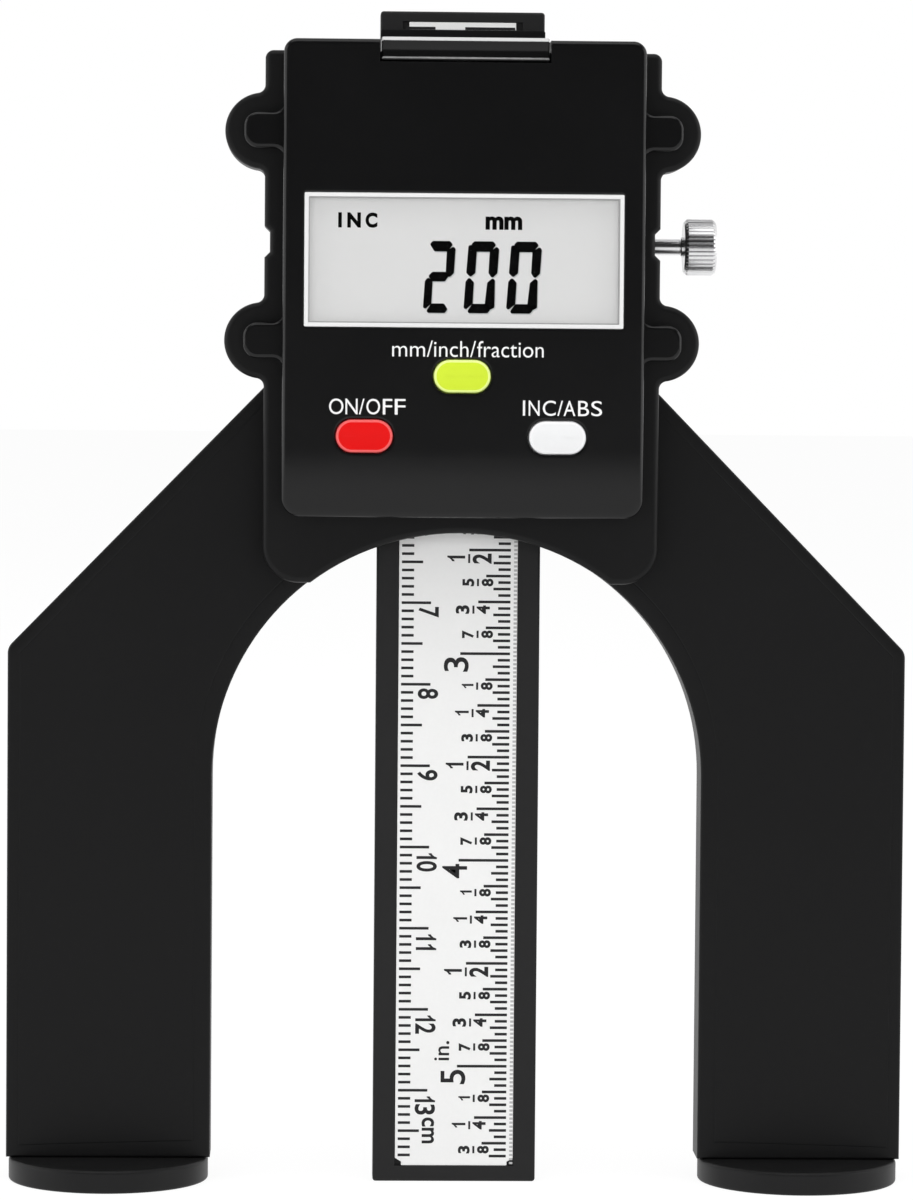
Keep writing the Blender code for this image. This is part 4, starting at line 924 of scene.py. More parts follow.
# Display: bezel, panel, segments and window
displayLook = {"border": 0.5, "round": 0.12, "rim": 0.10, "sealWidth": 0.15,
               "sealDepth": 0.06, "lensGap": 0.02, "panelMargin": 0.18,
               "inkDepth": 0.012, "slant": 4.3, "digitLow": 106.6, "barRound": 0.16,
               "barGrow": 0.09,
               "digits": [("2", -4.83, 0.91), ("0", 0.02, 1.0), ("0", 5.13, 1.0)],
               "shadow": (0.10, -0.12)}
litBars = {"0": "abcdef", "2": "abged"}
# the seven bars of one digit, upright, from its lower left corner
barShapes = {
    "a": [(0.32, 8.12), (0.62, 8.42), (2.78, 8.42), (3.12, 8.10), (2.58, 7.34),
          (0.92, 7.34)],
    "b": [(3.34, 7.80), (3.54, 7.52), (3.56, 4.74), (3.06, 4.22), (2.66, 4.74),
          (2.60, 7.26)],
    "c": [(3.12, 4.02), (3.34, 3.84), (3.54, 0.66), (3.10, 0.42), (2.52, 1.08),
          (2.60, 3.54)],
    "d": [(0.42, 0.0), (1.0, 0.96), (2.60, 0.96), (3.06, 0.38), (2.80, 0.0)],
    "e": [(0.32, 4.10), (0.84, 3.58), (0.90, 1.08), (0.02, 0.30), (0.0, 3.66)],
    "f": [(0.0, 7.96), (0.24, 7.98), (0.88, 7.26), (0.92, 4.76), (0.44, 4.34),
          (0.0, 4.76)],
    "g": [(0.42, 4.34), (0.88, 4.74), (2.50, 4.74), (2.90, 4.34), (2.48, 3.76),
          (0.86, 3.76)]}


def digitShape(look, front, shift=(0.0, 0.0)):
    shape = bmesh.new()
    slope = math.tan(math.radians(look["slant"]))
    for digit, left, wide in look["digits"]:
        for bar in litBars[digit]:
            corners = [(left + shift[0] + (x + z * slope) * wide,
                        look["digitLow"] + shift[1] + z, look["barRound"])
                       for x, z in barShapes[bar]]
            outline = shiftedLoop(turned(roundedOutline(corners, 20.0)), -look["barGrow"])
            slab(outline, front - look["inkDepth"], front, shape=shape)
    return shape


def textPiece(name, words, centre, width, height, front, finish, bold=0.0, depth=0.012,
              up=(0, 0, 1), along=(1, 0, 0)):
    # Flat lettering with the given size; up and along are its own directions.
    curve = bpy.data.curves.new(name, "FONT")
    curve.body = words
    curve.offset = bold
    curve.extrude = 0.05
    curve.resolution_u = 6
    holder = linked(name, curve)
    bpy.context.view_layer.update()
    mesh = bpy.data.meshes.new_from_object(
        holder.evaluated_get(bpy.context.evaluated_depsgraph_get()))
    bpy.data.objects.remove(holder, do_unlink=True)
    low = [min(v.co[axis] for v in mesh.vertices) for axis in range(3)]
    high = [max(v.co[axis] for v in mesh.vertices) for axis in range(3)]
    for vert in mesh.vertices:
        u, v, d = ((vert.co[axis] - low[axis]) / (high[axis] - low[axis])
                   for axis in range(3))
        point = (Vector((centre[0], front, centre[1])) + Vector(along) * (u - 0.5) * width
                 + Vector(up) * (v - 0.5) * height)
        vert.co = (point + forward * d * depth) * mm
    mesh.materials.clear()
    mesh.materials.append(finishes[finish])
    return linked(name, mesh)


def lettering(name, letters, middle, height, front, finish, bold=0.0):
    # One line of letters, each with its own left and right end.
    return [textPiece(name, letter, ((left + right) / 2, middle), right - left, height,
                      front, finish, bold) for letter, left, right in letters]


def makeDisplay(look):
    bezelLow, bezelHigh = span("lcd_bezel")
    panelLow, panelHigh = span("lcd_panel")
    lensLow, lensHigh = span("window_lens")
    middle = ((bezelLow.x + bezelHigh.x) / 2, (bezelLow.z + bezelHigh.z) / 2)
    width, height = bezelHigh.x - bezelLow.x, bezelHigh.z - bezelLow.z
    border, margin = look["border"], 2 * look["panelMargin"]

    def inset(edge, radius):
        return boxOutline(width - 2 * edge, height - 2 * edge, middle, radius)

    bezel = slab(inset(0, look["round"]), bezelLow.y, bezelHigh.y, [inset(border, 0.08)],
                 frontRim=look["rim"], holeRim=0.05)
    dress("displayBezel", bezel, "bezelWhite", "base", "white_film", "lcd_bezel")
    panel = boxOutline(panelHigh.x - panelLow.x + margin,
                       panelHigh.z - panelLow.z + margin, middle, 0.1)
    dress("displayPanel", slab(panel, panelLow.y, panelHigh.y, frontRim=0.04),
          "display_glass", "base", "display_glass", "lcd_panel")
    lens = inset(border + look["sealWidth"] + look["lensGap"], 0.1)
    dress("displayWindow", slab(lens, lensLow.y, lensHigh.y, frontRim=0.05),
          "clear_window", "base", "clear_window", "window_lens")
    face = panelLow.y
    shade = makePiece("digitShade", digitShape(look, face, look["shadow"]),
                      "displayShadow")
    ink = makePiece("digits", digitShape(look, face - look["inkDepth"]), "displayInk")
    signs = lettering("modeSign", [("I", -15.07, -14.63), ("N", -13.98, -12.36),
                                   ("C", -11.81, -10.38)], 117.52, 1.82, face,
                      "displayInk", 0.05)
    signs.append(textPiece("unitSign", "mm", (4.75, 117.3), 4.4, 1.6, face, "displayInk",
                           0.045))
    seal = [inset(edge, 0.08) for edge in (border + 0.02, border + look["sealWidth"])]
    depth = bezelLow.y + look["sealDepth"]
    signs.append(makePiece("windowSeal", slab(seal[0], depth, lensHigh.y, [seal[1]]),
                           "displayLine"))
    reading = joinPieces("displayReading", [ink, shade] + signs)
    place(reading, "base", "display_glass")


makeDisplay(displayLook)
print("display done")


# Buttons, with their flange and stem behind the casing
buttonLook = {"width": 6.8, "height": 3.92, "rim": 0.32, "crown": 0.12, "flange": 0.5,
              "flangeDepth": 0.6, "stem": 1.5}


def makeButton(word, button, look):
    low, high = span(f"button_{word}")
    x, z = button["place"]
    inside = casingLow.y + casingLook["wall"] + 0.05
    cap = turned(boxOutline(look["width"], look["height"], (x, z),
                            look["height"] / 2 - 0.01, 5.0))
    shape = bmesh.new()
    rim, crown, slit = look["rim"], look["crown"], look["height"] / 2 - 0.1
    path = []
    for number in range(7):  # a low crown, from the middle out to the rim
        inset = slit + (rim - slit) * number / 7
        path.append((inset, low.y + crown * ((slit - inset) / (slit - rim)) ** 2))
    crownRings = len(path)
    path += rimPath(rim, low.y + crown, 1, 6) + [(0, inside)]
    rings = wallRings(shape, cap, path)
    bridgeRings(shape, rings[crownRings:])
    for face in shape.faces:  # the rim is painted a shade lighter than the cap's middle: a painted highlight
        face.material_index = 1
    bridgeRings(shape, rings[:crownRings + 1])
    fanCap(shape, rings[0])
    fanCap(shape, rings[-1])
    flange = boxOutline(look["width"] + 2 * look["flange"],
                        look["height"] + 2 * look["flange"], (x, z), look["height"] / 2)
    slab(flange, inside, inside + look["flangeDepth"], shape=shape)
    latheShape([(0, 0), (look["stem"], 0), (look["stem"], high.y - inside), (0, high.y - inside)],
               (x, inside, z), (0, 1, 0), 40, shape=shape)
    piece = makePiece(f"{word}Button", shape, button["finish"])
    piece.data.materials.append(finishes[button["rimHighlightFinish"]])
    place(piece, f"{word}_key", button["finish"], f"button_{word}")


for word, button in buttons.items():
    makeButton(word, button, buttonLook)
legendLines = {
    "unitLegend": {"middle": 102.22, "height": 1.93, "bold": -0.004,
                   "letters": [("mm/", -8.53, -3.68), ("inch/", -3.52, 1.48),
                               ("fraction", 1.62, 9.58)]},
    "powerLegend": {"middle": 95.26, "height": 1.87, "bold": 0.0,
                    "letters": [("O", -16.02, -14.30), ("N", -14.06, -12.61),
                                ("/", -12.45, -11.79), ("O", -11.56, -9.92),
                                ("F", -9.60, -8.47), ("F", -8.17, -6.89)]},
    "modeLegend": {"middle": 95.23, "height": 1.82, "bold": 0.0,
                   "letters": [("I", 7.15, 7.42), ("N", 7.84, 9.15), ("C", 9.53, 11.09),
                               ("/", 11.28, 11.94), ("A", 12.02, 13.44),
                               ("B", 13.76, 15.07), ("S", 15.34, 16.64)]}}
legends = []
for name, line in legendLines.items():
    legends += lettering(name, line["letters"], line["middle"], line["height"],
                         casingLow.y, "whiteInk", line["bold"])
place(joinPieces("casingLegends", legends), "base", "white_film")
print("buttons and legends done")


# Measuring bar, its label and the printed scales
barLook = {"rim": 0.35, "corner": 0.4, "labelHalf": 7.25, "tongueHalf": 6.5,
           "notch": 0.9, "labelLow": 2.0, "labelHigh": 142.0,
           "backRim": 0.2, "grooveRim": 0.06, "labelRim": 0.04,
           "grooveDepth": 0.6, "zero": 141.27, "tickThick": 0.33, "inkDepth": 0.012,
           "topNotch": 1.7}
centimetreTicks = {"pitch": 1.0, "count": 139, "start": -6.92,
                   "reach": [(1, 1.5), (5, 2.6), (10, 3.6)]}
inch = 25.4
inchTicks = {"pitch": inch / 32, "count": 175, "start": 6.40,
             "reach": [(1, 1.5), (2, 2.1), (4, 3.0), (8, 3.95), (16, 5.1), (32, 6.1)]}
edgeTeeth = {"pitch": 0.5, "count": 278, "start": 7.22, "reach": [(1, 0.42)],
             "thick": 0.27}


def makeTickTree(name, levels):
    # A line of ticks whose length follows from their number: the last level that
    # divides the number sets it.
    inputs = [("Start", "NodeSocketVector", (0, 0, 0)), ("Pitch", "NodeSocketFloat", 0.001),
              ("Count", "NodeSocketInt", 10), ("Thickness", "NodeSocketFloat", 0.0002),
              ("Ink Depth", "NodeSocketFloat", 0.00001), ("Side", "NodeSocketFloat", 1.0)]
    inputs += [(f"Reach {every}", "NodeSocketFloat", reach * mm) for every, reach in levels]
    tree, start, end = geometryTree(name, inputs)
    step = vector(tree, z=times(tree, start.outputs["Pitch"], -1.0))
    line = addNode(tree, "GeometryNodeMeshLine",
                   {"Count": start.outputs["Count"], "Start Location": start.outputs["Start"],
                    "Offset": step})
    index = addNode(tree, "GeometryNodeInputIndex").outputs[0]
    reach = start.outputs[f"Reach {levels[0][0]}"]
    for every, _ in levels[1:]:
        rest = maths(tree, "MODULO", index, float(every))
        fits = maths(tree, "LESS_THAN", rest, 0.5)
        reach = addNode(tree, "GeometryNodeSwitch",
                        {"Switch": fits, "False": reach,
                         "True": start.outputs[f"Reach {every}"]},
                        input_type="FLOAT").outputs[0]
    cube = addNode(tree, "GeometryNodeMeshCube")
    shift = vector(tree, times(tree, start.outputs["Side"], 0.5))
    mark = addNode(tree, "GeometryNodeTransform", {"Geometry": cube.outputs["Mesh"],
                                                  "Translation": shift})
    size = vector(tree, reach, start.outputs["Ink Depth"], start.outputs["Thickness"])
    marks = addNode(tree, "GeometryNodeInstanceOnPoints",
                    {"Points": line.outputs["Mesh"], "Instance": mark.outputs[0],
                     "Scale": size})
    closeTree(tree, start, end, marks.outputs[0])
    return tree


def ruleLine(name, ticks, side, front, finish, top):
    levels = ticks["reach"]
    tree = makeTickTree(name, levels)
    values = {"Start": (ticks["start"] * mm, (front - barLook["inkDepth"] / 2) * mm, top * mm),
              "Pitch": ticks["pitch"] * mm, "Count": ticks["count"],
              "Thickness": ticks.get("thick", barLook["tickThick"]) * mm,
              "Ink Depth": barLook["inkDepth"] * mm, "Side": float(side),
              "Material": finishes[finish]}
    values.update({f"Reach {every}": reach * mm for every, reach in levels})
    return runTree(name, tree, values)


# places of a fraction's figures from its tick's inner end, along the bar's width
fractionLook = {2: {"over": (-2.68, -0.49), "bar": 0.0, "under": (0.41, 2.75),
                    "drop": 1.05, "barLength": 1.1, "digit": 1.25, "bold": 0.030},
                4: {"over": (-2.75, -1.05), "bar": -0.58, "under": (-0.19, 1.43),
                    "drop": 0.95, "barLength": 1.0, "digit": 1.05, "bold": 0.036},
                8: {"over": (-2.9, -1.45), "bar": -1.0, "under": (-0.55, 0.9),
                    "drop": 0.80, "barLength": 0.9, "digit": 0.95, "bold": 0.040}}
figureLook = {"centimetreLow": -4.87, "centimetreHigh": -2.36, "centimetreGap": 0.5,
              "centimetreDigit": 1.3, "digitSpace": 0.25, "inchLength": 3.05,
              "inchInset": 1.05, "inchGap": 0.45, "inchDigit": 1.78, "fractionBar": 0.25}


oneOutline = [(0.50, 0), (1, 0), (1, 1), (0.70, 1), (0.54, 0.87), (0.28, 0.78), (0, 0.73),
              (0, 0.58), (0.28, 0.62), (0.50, 0.72)]


def figureOne(left, right, high, low, front, clockwise):
    # A one with its flag: the built-in font draws a bare bar.
    points = []
    for across, rise in oneOutline:
        if clockwise:
            points.append(Vector((left + rise * (right - left), high - across * (high - low))))
        else:
            points.append(Vector((right - rise * (right - left), low + across * (high - low))))
    return makePiece("figure", slab(points, front - barLook["inkDepth"], front), "blackInk")


def figure(words, left, right, high, low, front, clockwise, bold=0.0):
    # A figure turned a quarter turn that fills the given part of the label.
    if words == "1":
        return figureOne(left, right, high, low, front, clockwise)
    up, along = ((1, 0, 0), (0, 0, -1)) if clockwise else ((-1, 0, 0), (0, 0, 1))
    return textPiece("figure", words, ((left + right) / 2, (high + low) / 2), high - low,
                     right - left, front, "blackInk", bold, barLook["inkDepth"], up, along)


def digitWidth(digit, wide):
    return wide * (0.55 if digit == "1" else 1.0)


def centimetreFigures(front):
    look = figureLook
    figures = []
    for number in range(1, 14):
        high = barLook["zero"] - 10 * number - look["centimetreGap"]
        for digit in str(number):
            wide = digitWidth(digit, look["centimetreDigit"])
            pad = look["digitSpace"] if digit == "1" else 0.0
            figures.append(figure(digit, look["centimetreLow"], look["centimetreHigh"],
                                  high - pad, high - pad - wide, front, True, 0.022))
            high -= wide + pad + look["digitSpace"]
    figures.append(figure("cm", -4.0, -2.45, high - 0.1, high - 3.3, front, True, 0.02))
    return figures


def inchFigures(front):
    look = figureLook
    figures = []
    reach = dict(inchTicks["reach"])
    for eighth in range(1, 44):
        tick = barLook["zero"] - inch * eighth / 8
        over, under = eighth % 8, 8
        if over == 0:
            end = inchTicks["start"] - reach[32]
            right = end + look["inchInset"]
            high = tick - look["inchGap"]
            digit = str(eighth // 8)
            wide = digitWidth(digit, look["inchDigit"])
            figures.append(figure(digit, right - look["inchLength"], right, high,
                                  high - wide, front, False, 0.010))
            continue
        while over % 2 == 0:
            over, under = over // 2, under // 2
        size = fractionLook[under]
        end = inchTicks["start"] - reach[32 // under]
        middle = tick - size["drop"]
        for digit, (left, right) in ((str(over), size["over"]), (str(under), size["under"])):
            wide = digitWidth(digit, size["digit"])
            figures.append(figure(digit, end + left, end + right, middle + wide / 2,
                                  middle - wide / 2, front, False, size["bold"]))
        line = boxOutline(look["fractionBar"], size["barLength"], (end + size["bar"], middle))
        figures.append(makePiece("fractionBar", slab(line, front - barLook["inkDepth"],
                                                     front), "blackInk"))
    fifth = barLook["zero"] - inch * 5
    figures.append(figure("in.", -2.5, -0.65, fifth + 3.1, fifth + 0.7, front, False, 0.01))
    return figures


def labelOutline(look):
    half, tongue, notch = look["labelHalf"], look["tongueHalf"], look["notch"]
    low, high = look["labelLow"], look["labelHigh"]
    right = [(tongue, low, 0.1), (tongue, low + notch / 2, 0), (half, low + notch, 0.1),
             (half, high - look["topNotch"], 0.1), (tongue, high - look["topNotch"], 0),
             (tongue, high, 0.05)]
    return turned(roundedOutline(bothSides(right)))


def makeBar(look):
    outline = turned(boxOutline(barHigh.x - barLow.x, barHigh.z - barLow.z,
                                (0, (barHigh.z + barLow.z) / 2), look["corner"]))
    groove = turned(boxOutline(2 * look["labelHalf"] + 0.1,
                               look["labelHigh"] - look["labelLow"] + 0.1,
                               (0, (look["labelHigh"] + look["labelLow"]) / 2)), False)
    shape = bmesh.new()
    path = rimPath(look["rim"], barLow.y, 1, 4)
    path += rimPath(look["backRim"], barHigh.y, -1, 3)[::-1]
    outerRings = wallRings(shape, outline, path)
    grooveRings = wallRings(shape, groove, rimPath(look["grooveRim"], barLow.y, 1, 2)
                            + [(0, barLow.y + look["grooveDepth"])])
    bridgeRings(shape, outerRings)
    bridgeRings(shape, grooveRings)
    fillCap(shape, [outerRings[0], grooveRings[0]])
    fillCap(shape, [grooveRings[-1]])
    fillCap(shape, [outerRings[-1]])
    dress("measuringBar", shape, "barPlastic", "bar", "black_plastic", "ruler_bar")
    labelLow, labelHigh = span("scale_label")
    dress("scaleLabel", slab(labelOutline(look), labelLow.y, labelHigh.y,
                             frontRim=look["labelRim"]),
          "white_film", "bar", "white_film", "scale_label")
    front = labelLow.y
    rules = [ruleLine("centimetreRule", centimetreTicks, 1, front, "blackInk", look["zero"]),
             ruleLine("inchRule", inchTicks, -1, front, "blackInk", look["zero"]),
             ruleLine("edgeTeeth", edgeTeeth, -1, front, "greyInk", look["labelHigh"] - 1.2)]
    place(joinPieces("scaleRules", rules), "bar", "white_film")
    figures = centimetreFigures(front) + inchFigures(front)
    place(joinPieces("scaleFigures", figures), "bar", "white_film")


makeBar(barLook)
print("bar and scales done")


# Feet
footLook = {"rim": 0.5, "lowerRim": 0.35, "hole": 1.65, "head": 3.05, "ringIn": 4.35,
            "ringOut": 10.4, "roof": 2.0, "coneTop": 1.65, "coneLow": 0.25}


def makeFoot(word, look):
    low, high = span(f"foot_{word}")
    middle = (low + high) / 2
    radius, tall = (high.x - low.x) / 2, high.z
    rim, lower = look["rim"], look["lowerRim"]
    profile = [(look["hole"], tall), (look["hole"], look["coneTop"]),
               (look["head"], look["coneLow"]), (look["head"], 0), (look["ringIn"], 0),
               (look["ringIn"], look["roof"]), (look["ringOut"], look["roof"]),
               (look["ringOut"], 0.12), (look["ringOut"] + 0.12, 0)]
    profile += [(radius - lower * (1 - math.sin(turn)), lower * (1 - math.cos(turn)))
                for turn in quarterTurn(6)]
    profile.append((radius, tall / 2))
    profile += [(radius - rim * (1 - math.cos(turn)), tall - rim * (1 - math.sin(turn)))
                for turn in quarterTurn(6)]
    profile.append((radius - 2 * rim, tall))
    shape = latheShape(profile, (middle.x, middle.y, 0), (0, 0, 1), 144, closed=True)
    dress(f"foot{word.capitalize()}", shape, "dark_nickel", "base", "dark_nickel",
          f"foot_{word}")


for word in ("left", "right"):
    makeFoot(word, footLook)
print("feet done")


# Lock screw: a knurled head on a plain shank
knobLook = {"count": 41, "depth": 0.24, "chamfer": 0.4, "headLength": 3.9,
            "shankRadius": 1.0, "collar": 1.25, "collarLength": 0.34, "threadPitch": 0.4,
            "threadRoot": 0.86, "plainLength": 6.5, "dimple": 0.3}


def makeKnurlTree():
    tree, start, end = geometryTree(
        "straightKnurls",
        [("Count", "NodeSocketInt", 40), ("Radius", "NodeSocketFloat", 3.4),
         ("Length", "NodeSocketFloat", 4.0), ("Depth", "NodeSocketFloat", 0.2),
         ("Chamfer", "NodeSocketFloat", 0.4), ("Place", "NodeSocketVector", (0, 0, 0)),
         ("Turn", "NodeSocketVector", (0, 0, 0))])
    around = times(tree, start.outputs["Count"], 8.0)
    barrel = addNode(tree, "GeometryNodeMeshCylinder",
                     {"Vertices": around, "Side Segments": 18, "Fill Segments": 1,
                      "Radius": start.outputs["Radius"], "Depth": start.outputs["Length"]})
    point = addNode(tree, "GeometryNodeInputPosition").outputs[0]
    split = addNode(tree, "ShaderNodeSeparateXYZ", {0: point})
    angle = maths(tree, "ARCTAN2", split.outputs["Y"], split.outputs["X"])
    wave = maths(tree, "ABSOLUTE", maths(
        tree, "SINE", times(tree, angle, start.outputs["Count"], 0.5)))
    flat = maths(tree, "MINIMUM", times(tree, wave, 1.7), 1.0)
    cut = times(tree, maths(tree, "SUBTRACT", 1.0, flat), start.outputs["Depth"])
    halfLength = times(tree, start.outputs["Length"], 0.5)
    toEnd = maths(tree, "SUBTRACT", halfLength, maths(tree, "ABSOLUTE", split.outputs["Z"]))
    slope = maths(tree, "MAXIMUM", maths(tree, "SUBTRACT", start.outputs["Chamfer"], toEnd),
                  0.0)
    inset = maths(tree, "MAXIMUM", cut, slope)
    factor = maths(tree, "SUBTRACT", 1.0,
                   maths(tree, "DIVIDE", inset, start.outputs["Radius"]))
    moved = vector(tree, times(tree, split.outputs["X"], factor),
                   times(tree, split.outputs["Y"], factor), split.outputs["Z"])
    ridged = addNode(tree, "GeometryNodeSetPosition", {"Geometry": barrel.outputs["Mesh"],
                                                      "Position": moved})
    turn = addNode(tree, "GeometryNodeTransform",
                   {"Geometry": ridged.outputs[0], "Translation": start.outputs["Place"],
                    "Rotation": start.outputs["Turn"]})
    closeTree(tree, start, end, turn.outputs[0])
    return tree


def makeKnob(look):
    axis = middleOf("lock_screw")
    radius = (knobHigh.z - knobLow.z) / 2
    headStart = knobHigh.x - look["headLength"]
    head = runTree("knurledHead", makeKnurlTree(),
                   {"Count": look["count"], "Radius": radius * mm,
                    "Length": look["headLength"] * mm, "Depth": look["depth"] * mm,
                    "Chamfer": look["chamfer"] * mm,
                    "Place": ((headStart + look["headLength"] / 2) * mm, axis.y * mm,
                              axis.z * mm),
                    "Turn": (0.0, math.pi / 2, 0.0), "Material": finishes["steel"]})
    smoothShading(head.data, 24.0)
    shank, length = look["shankRadius"], headStart - knobLow.x
    collar, thick = look["collar"], look["collarLength"]
    profile = [(0, 0), (shank * 0.7, 0), (shank, 0.35)]
    along, pitch = 0.6, look["threadPitch"]
    while along < length - look["plainLength"]:  # thread inside the insert
        profile += [(shank, along), (shank * look["threadRoot"], along + pitch / 2),
                    (shank, along + pitch)]
        along += pitch
    profile += [(shank, length - 6.2), (shank, length - thick - 0.15),
                (shank * 0.9, length - thick - 0.05), (shank * 0.9, length - thick),
                (collar - 0.1, length - thick), (collar, length - thick + 0.1),
                (collar, length + 0.2), (0, length + 0.2)]
    start = (knobLow.x, axis.y, axis.z)
    stem = makePiece("lockStem", latheShape(profile, start, (1, 0, 0), 64), "steel", 40.0)
    deep, hollow = look["dimple"], radius / 2
    dimple = [(0, -deep), (hollow, -deep), (hollow + 0.1, -deep + 0.05),
              (hollow + deep, 0.06), (hollow + deep, 1), (0, 1)]
    cutter = makePiece("endDimple", latheShape(dimple, (knobHigh.x, axis.y, axis.z),
                                               (1, 0, 0), 64))
    carve(head, [cutter])
    smoothShading(head.data, 24.0)
    knob = joinPieces("lockKnob", [head, stem])
    place(knob, "lock_knob", "steel", "lock_screw")


makeKnob(knobLook)
print("lock screw done")


# Battery tray and its cell
trayLook = {"chamfer": 0.42, "scoop": 0.6, "ledgeRise": 0.42, "ledgeDepth": 0.4,
            "slotHalf": 5.0}


def sideProfile(name, outline, left, right, finish):
    # An outline in Y and Z, drawn along X, with its two ends closed.
    shape = bmesh.new()
    rim = 0.12
    loops = []
    for x, inset in ((left, rim), (left + rim, 0), (right - rim, 0), (right, rim)):
        points = shiftedLoop(turned([Vector(p) for p in outline]), inset)
        loops.append([shape.verts.new((x * mm, p.x * mm, p.y * mm)) for p in points])
    bridgeRings(shape, loops)
    fillCap(shape, [loops[0]])
    fillCap(shape, [loops[-1]])
    return makePiece(name, shape, finish)


def makeTray(look):
    low, high = span("battery_tray")
    cellLow, cellHigh = span("coin_cell")
    lipLow = casingLook["lipLow"] + 0.2
    front, top = casingLow.y, high.z
    half = (high.x - low.x) / 2
    floorBack, floorFront = high.y, high.y - 0.6
    ledge = lipLow + look["ledgeRise"]
    chamfer = look["chamfer"]
    profile = [(floorBack, lipLow - 0.6), (floorBack, top - 0.15), (floorBack - 0.15, top),
               (front + 1.0, top), (front + 1.0 - chamfer, top - chamfer)]
    scoopTop = top - chamfer - 0.05
    for number in range(13):  # a hollow for the fingernail
        share = number / 12
        dip = math.sin(math.pi * min(1, share * 1.7) / 2) * look["scoop"]
        profile.append((front + 0.28 + dip, scoopTop - (scoopTop - ledge) * share))
    profile += [(front + look["ledgeDepth"], ledge), (front + 0.06, ledge - 0.22),
                (front, ledge - 0.32), (front, lipLow + 0.06), (front + 0.06, lipLow),
                (floorFront, lipLow), (floorFront, lipLow - 0.6)]
    lip = sideProfile("trayLip", profile, -half, half, "casing_plastic")
    lip.data.materials.append(finishes["chamferHighlight"])
    lip.data.materials.append(finishes["ledgeHighlight"])
    for face in lip.data.polygons:  # the chamfer and ledge faces painted light grey: a painted highlight where the lamp catches them
        y, z = face.center.y / mm, face.center.z / mm
        upper = z > top - chamfer - 0.02 and y < front + 1.02
        lower = ledge - 0.2 < z < ledge + 0.01 and y < front + look["ledgeDepth"]
        if face.normal.z > 0.35 and (upper and z < top - 0.02 or lower):
            face.material_index = 1 if upper else 2
    cellMiddle = middleOf("coin_cell")
    bottom = low.z
    plate = makePiece("trayFloor", slab(boxOutline(2 * half, lipLow - bottom,
                                                   (0, (lipLow + bottom) / 2), 0.4),
                                        floorFront - 1.5, floorBack, frontRim=0.1),
                      "casing_plastic")
    radius = (cellHigh.x - cellLow.x) / 2 + 0.05
    cutters = [rodCutter("cellSeat", radius, (0, floorFront, cellMiddle.z), (0, -1, 0), 5),
               blockCutter("contactSlot", (-look["slotHalf"], floorFront - 5, bottom - 2),
                           (look["slotHalf"], floorBack + 2, cellMiddle.z + 5))]
    carve(plate, cutters)
    tray = joinPieces("batteryTray", [evenNormals(lip, 35.0), evenNormals(plate)])
    place(tray, "tray", "casing_plastic", "battery_tray")
    r, thick = radius - 0.05, cellHigh.y - cellLow.y
    can = [(0, 0), (r - 0.5, 0), (r - 0.15, 0.1), (r, 0.4), (r, thick - 0.6),
           (r - 0.12, thick - 0.3), (r - 0.5, thick - 0.22), (r - 0.8, thick - 0.4),
           (r - 1.0, thick - 0.4), (r - 1.15, thick - 0.1), (r - 1.5, thick), (0, thick)]
    cell = makePiece("coinCell", latheShape(can, (0, cellHigh.y, cellMiddle.z), (0, -1, 0)),
                     "cell_can", 20.0)
    place(evenNormals(cell, 20.0), "tray", "cell_can", "coin_cell")


makeTray(trayLook)
print("tray done")


# Screw heads: one cross-head design for every screw
screwLook = {"smallRadius": 1.8, "footRadius": 2.75, "thickness": 0.5, "dome": 0.22,
             "slotWidth": 0.30, "slotLength": 1.25, "slotDepth": 0.34}


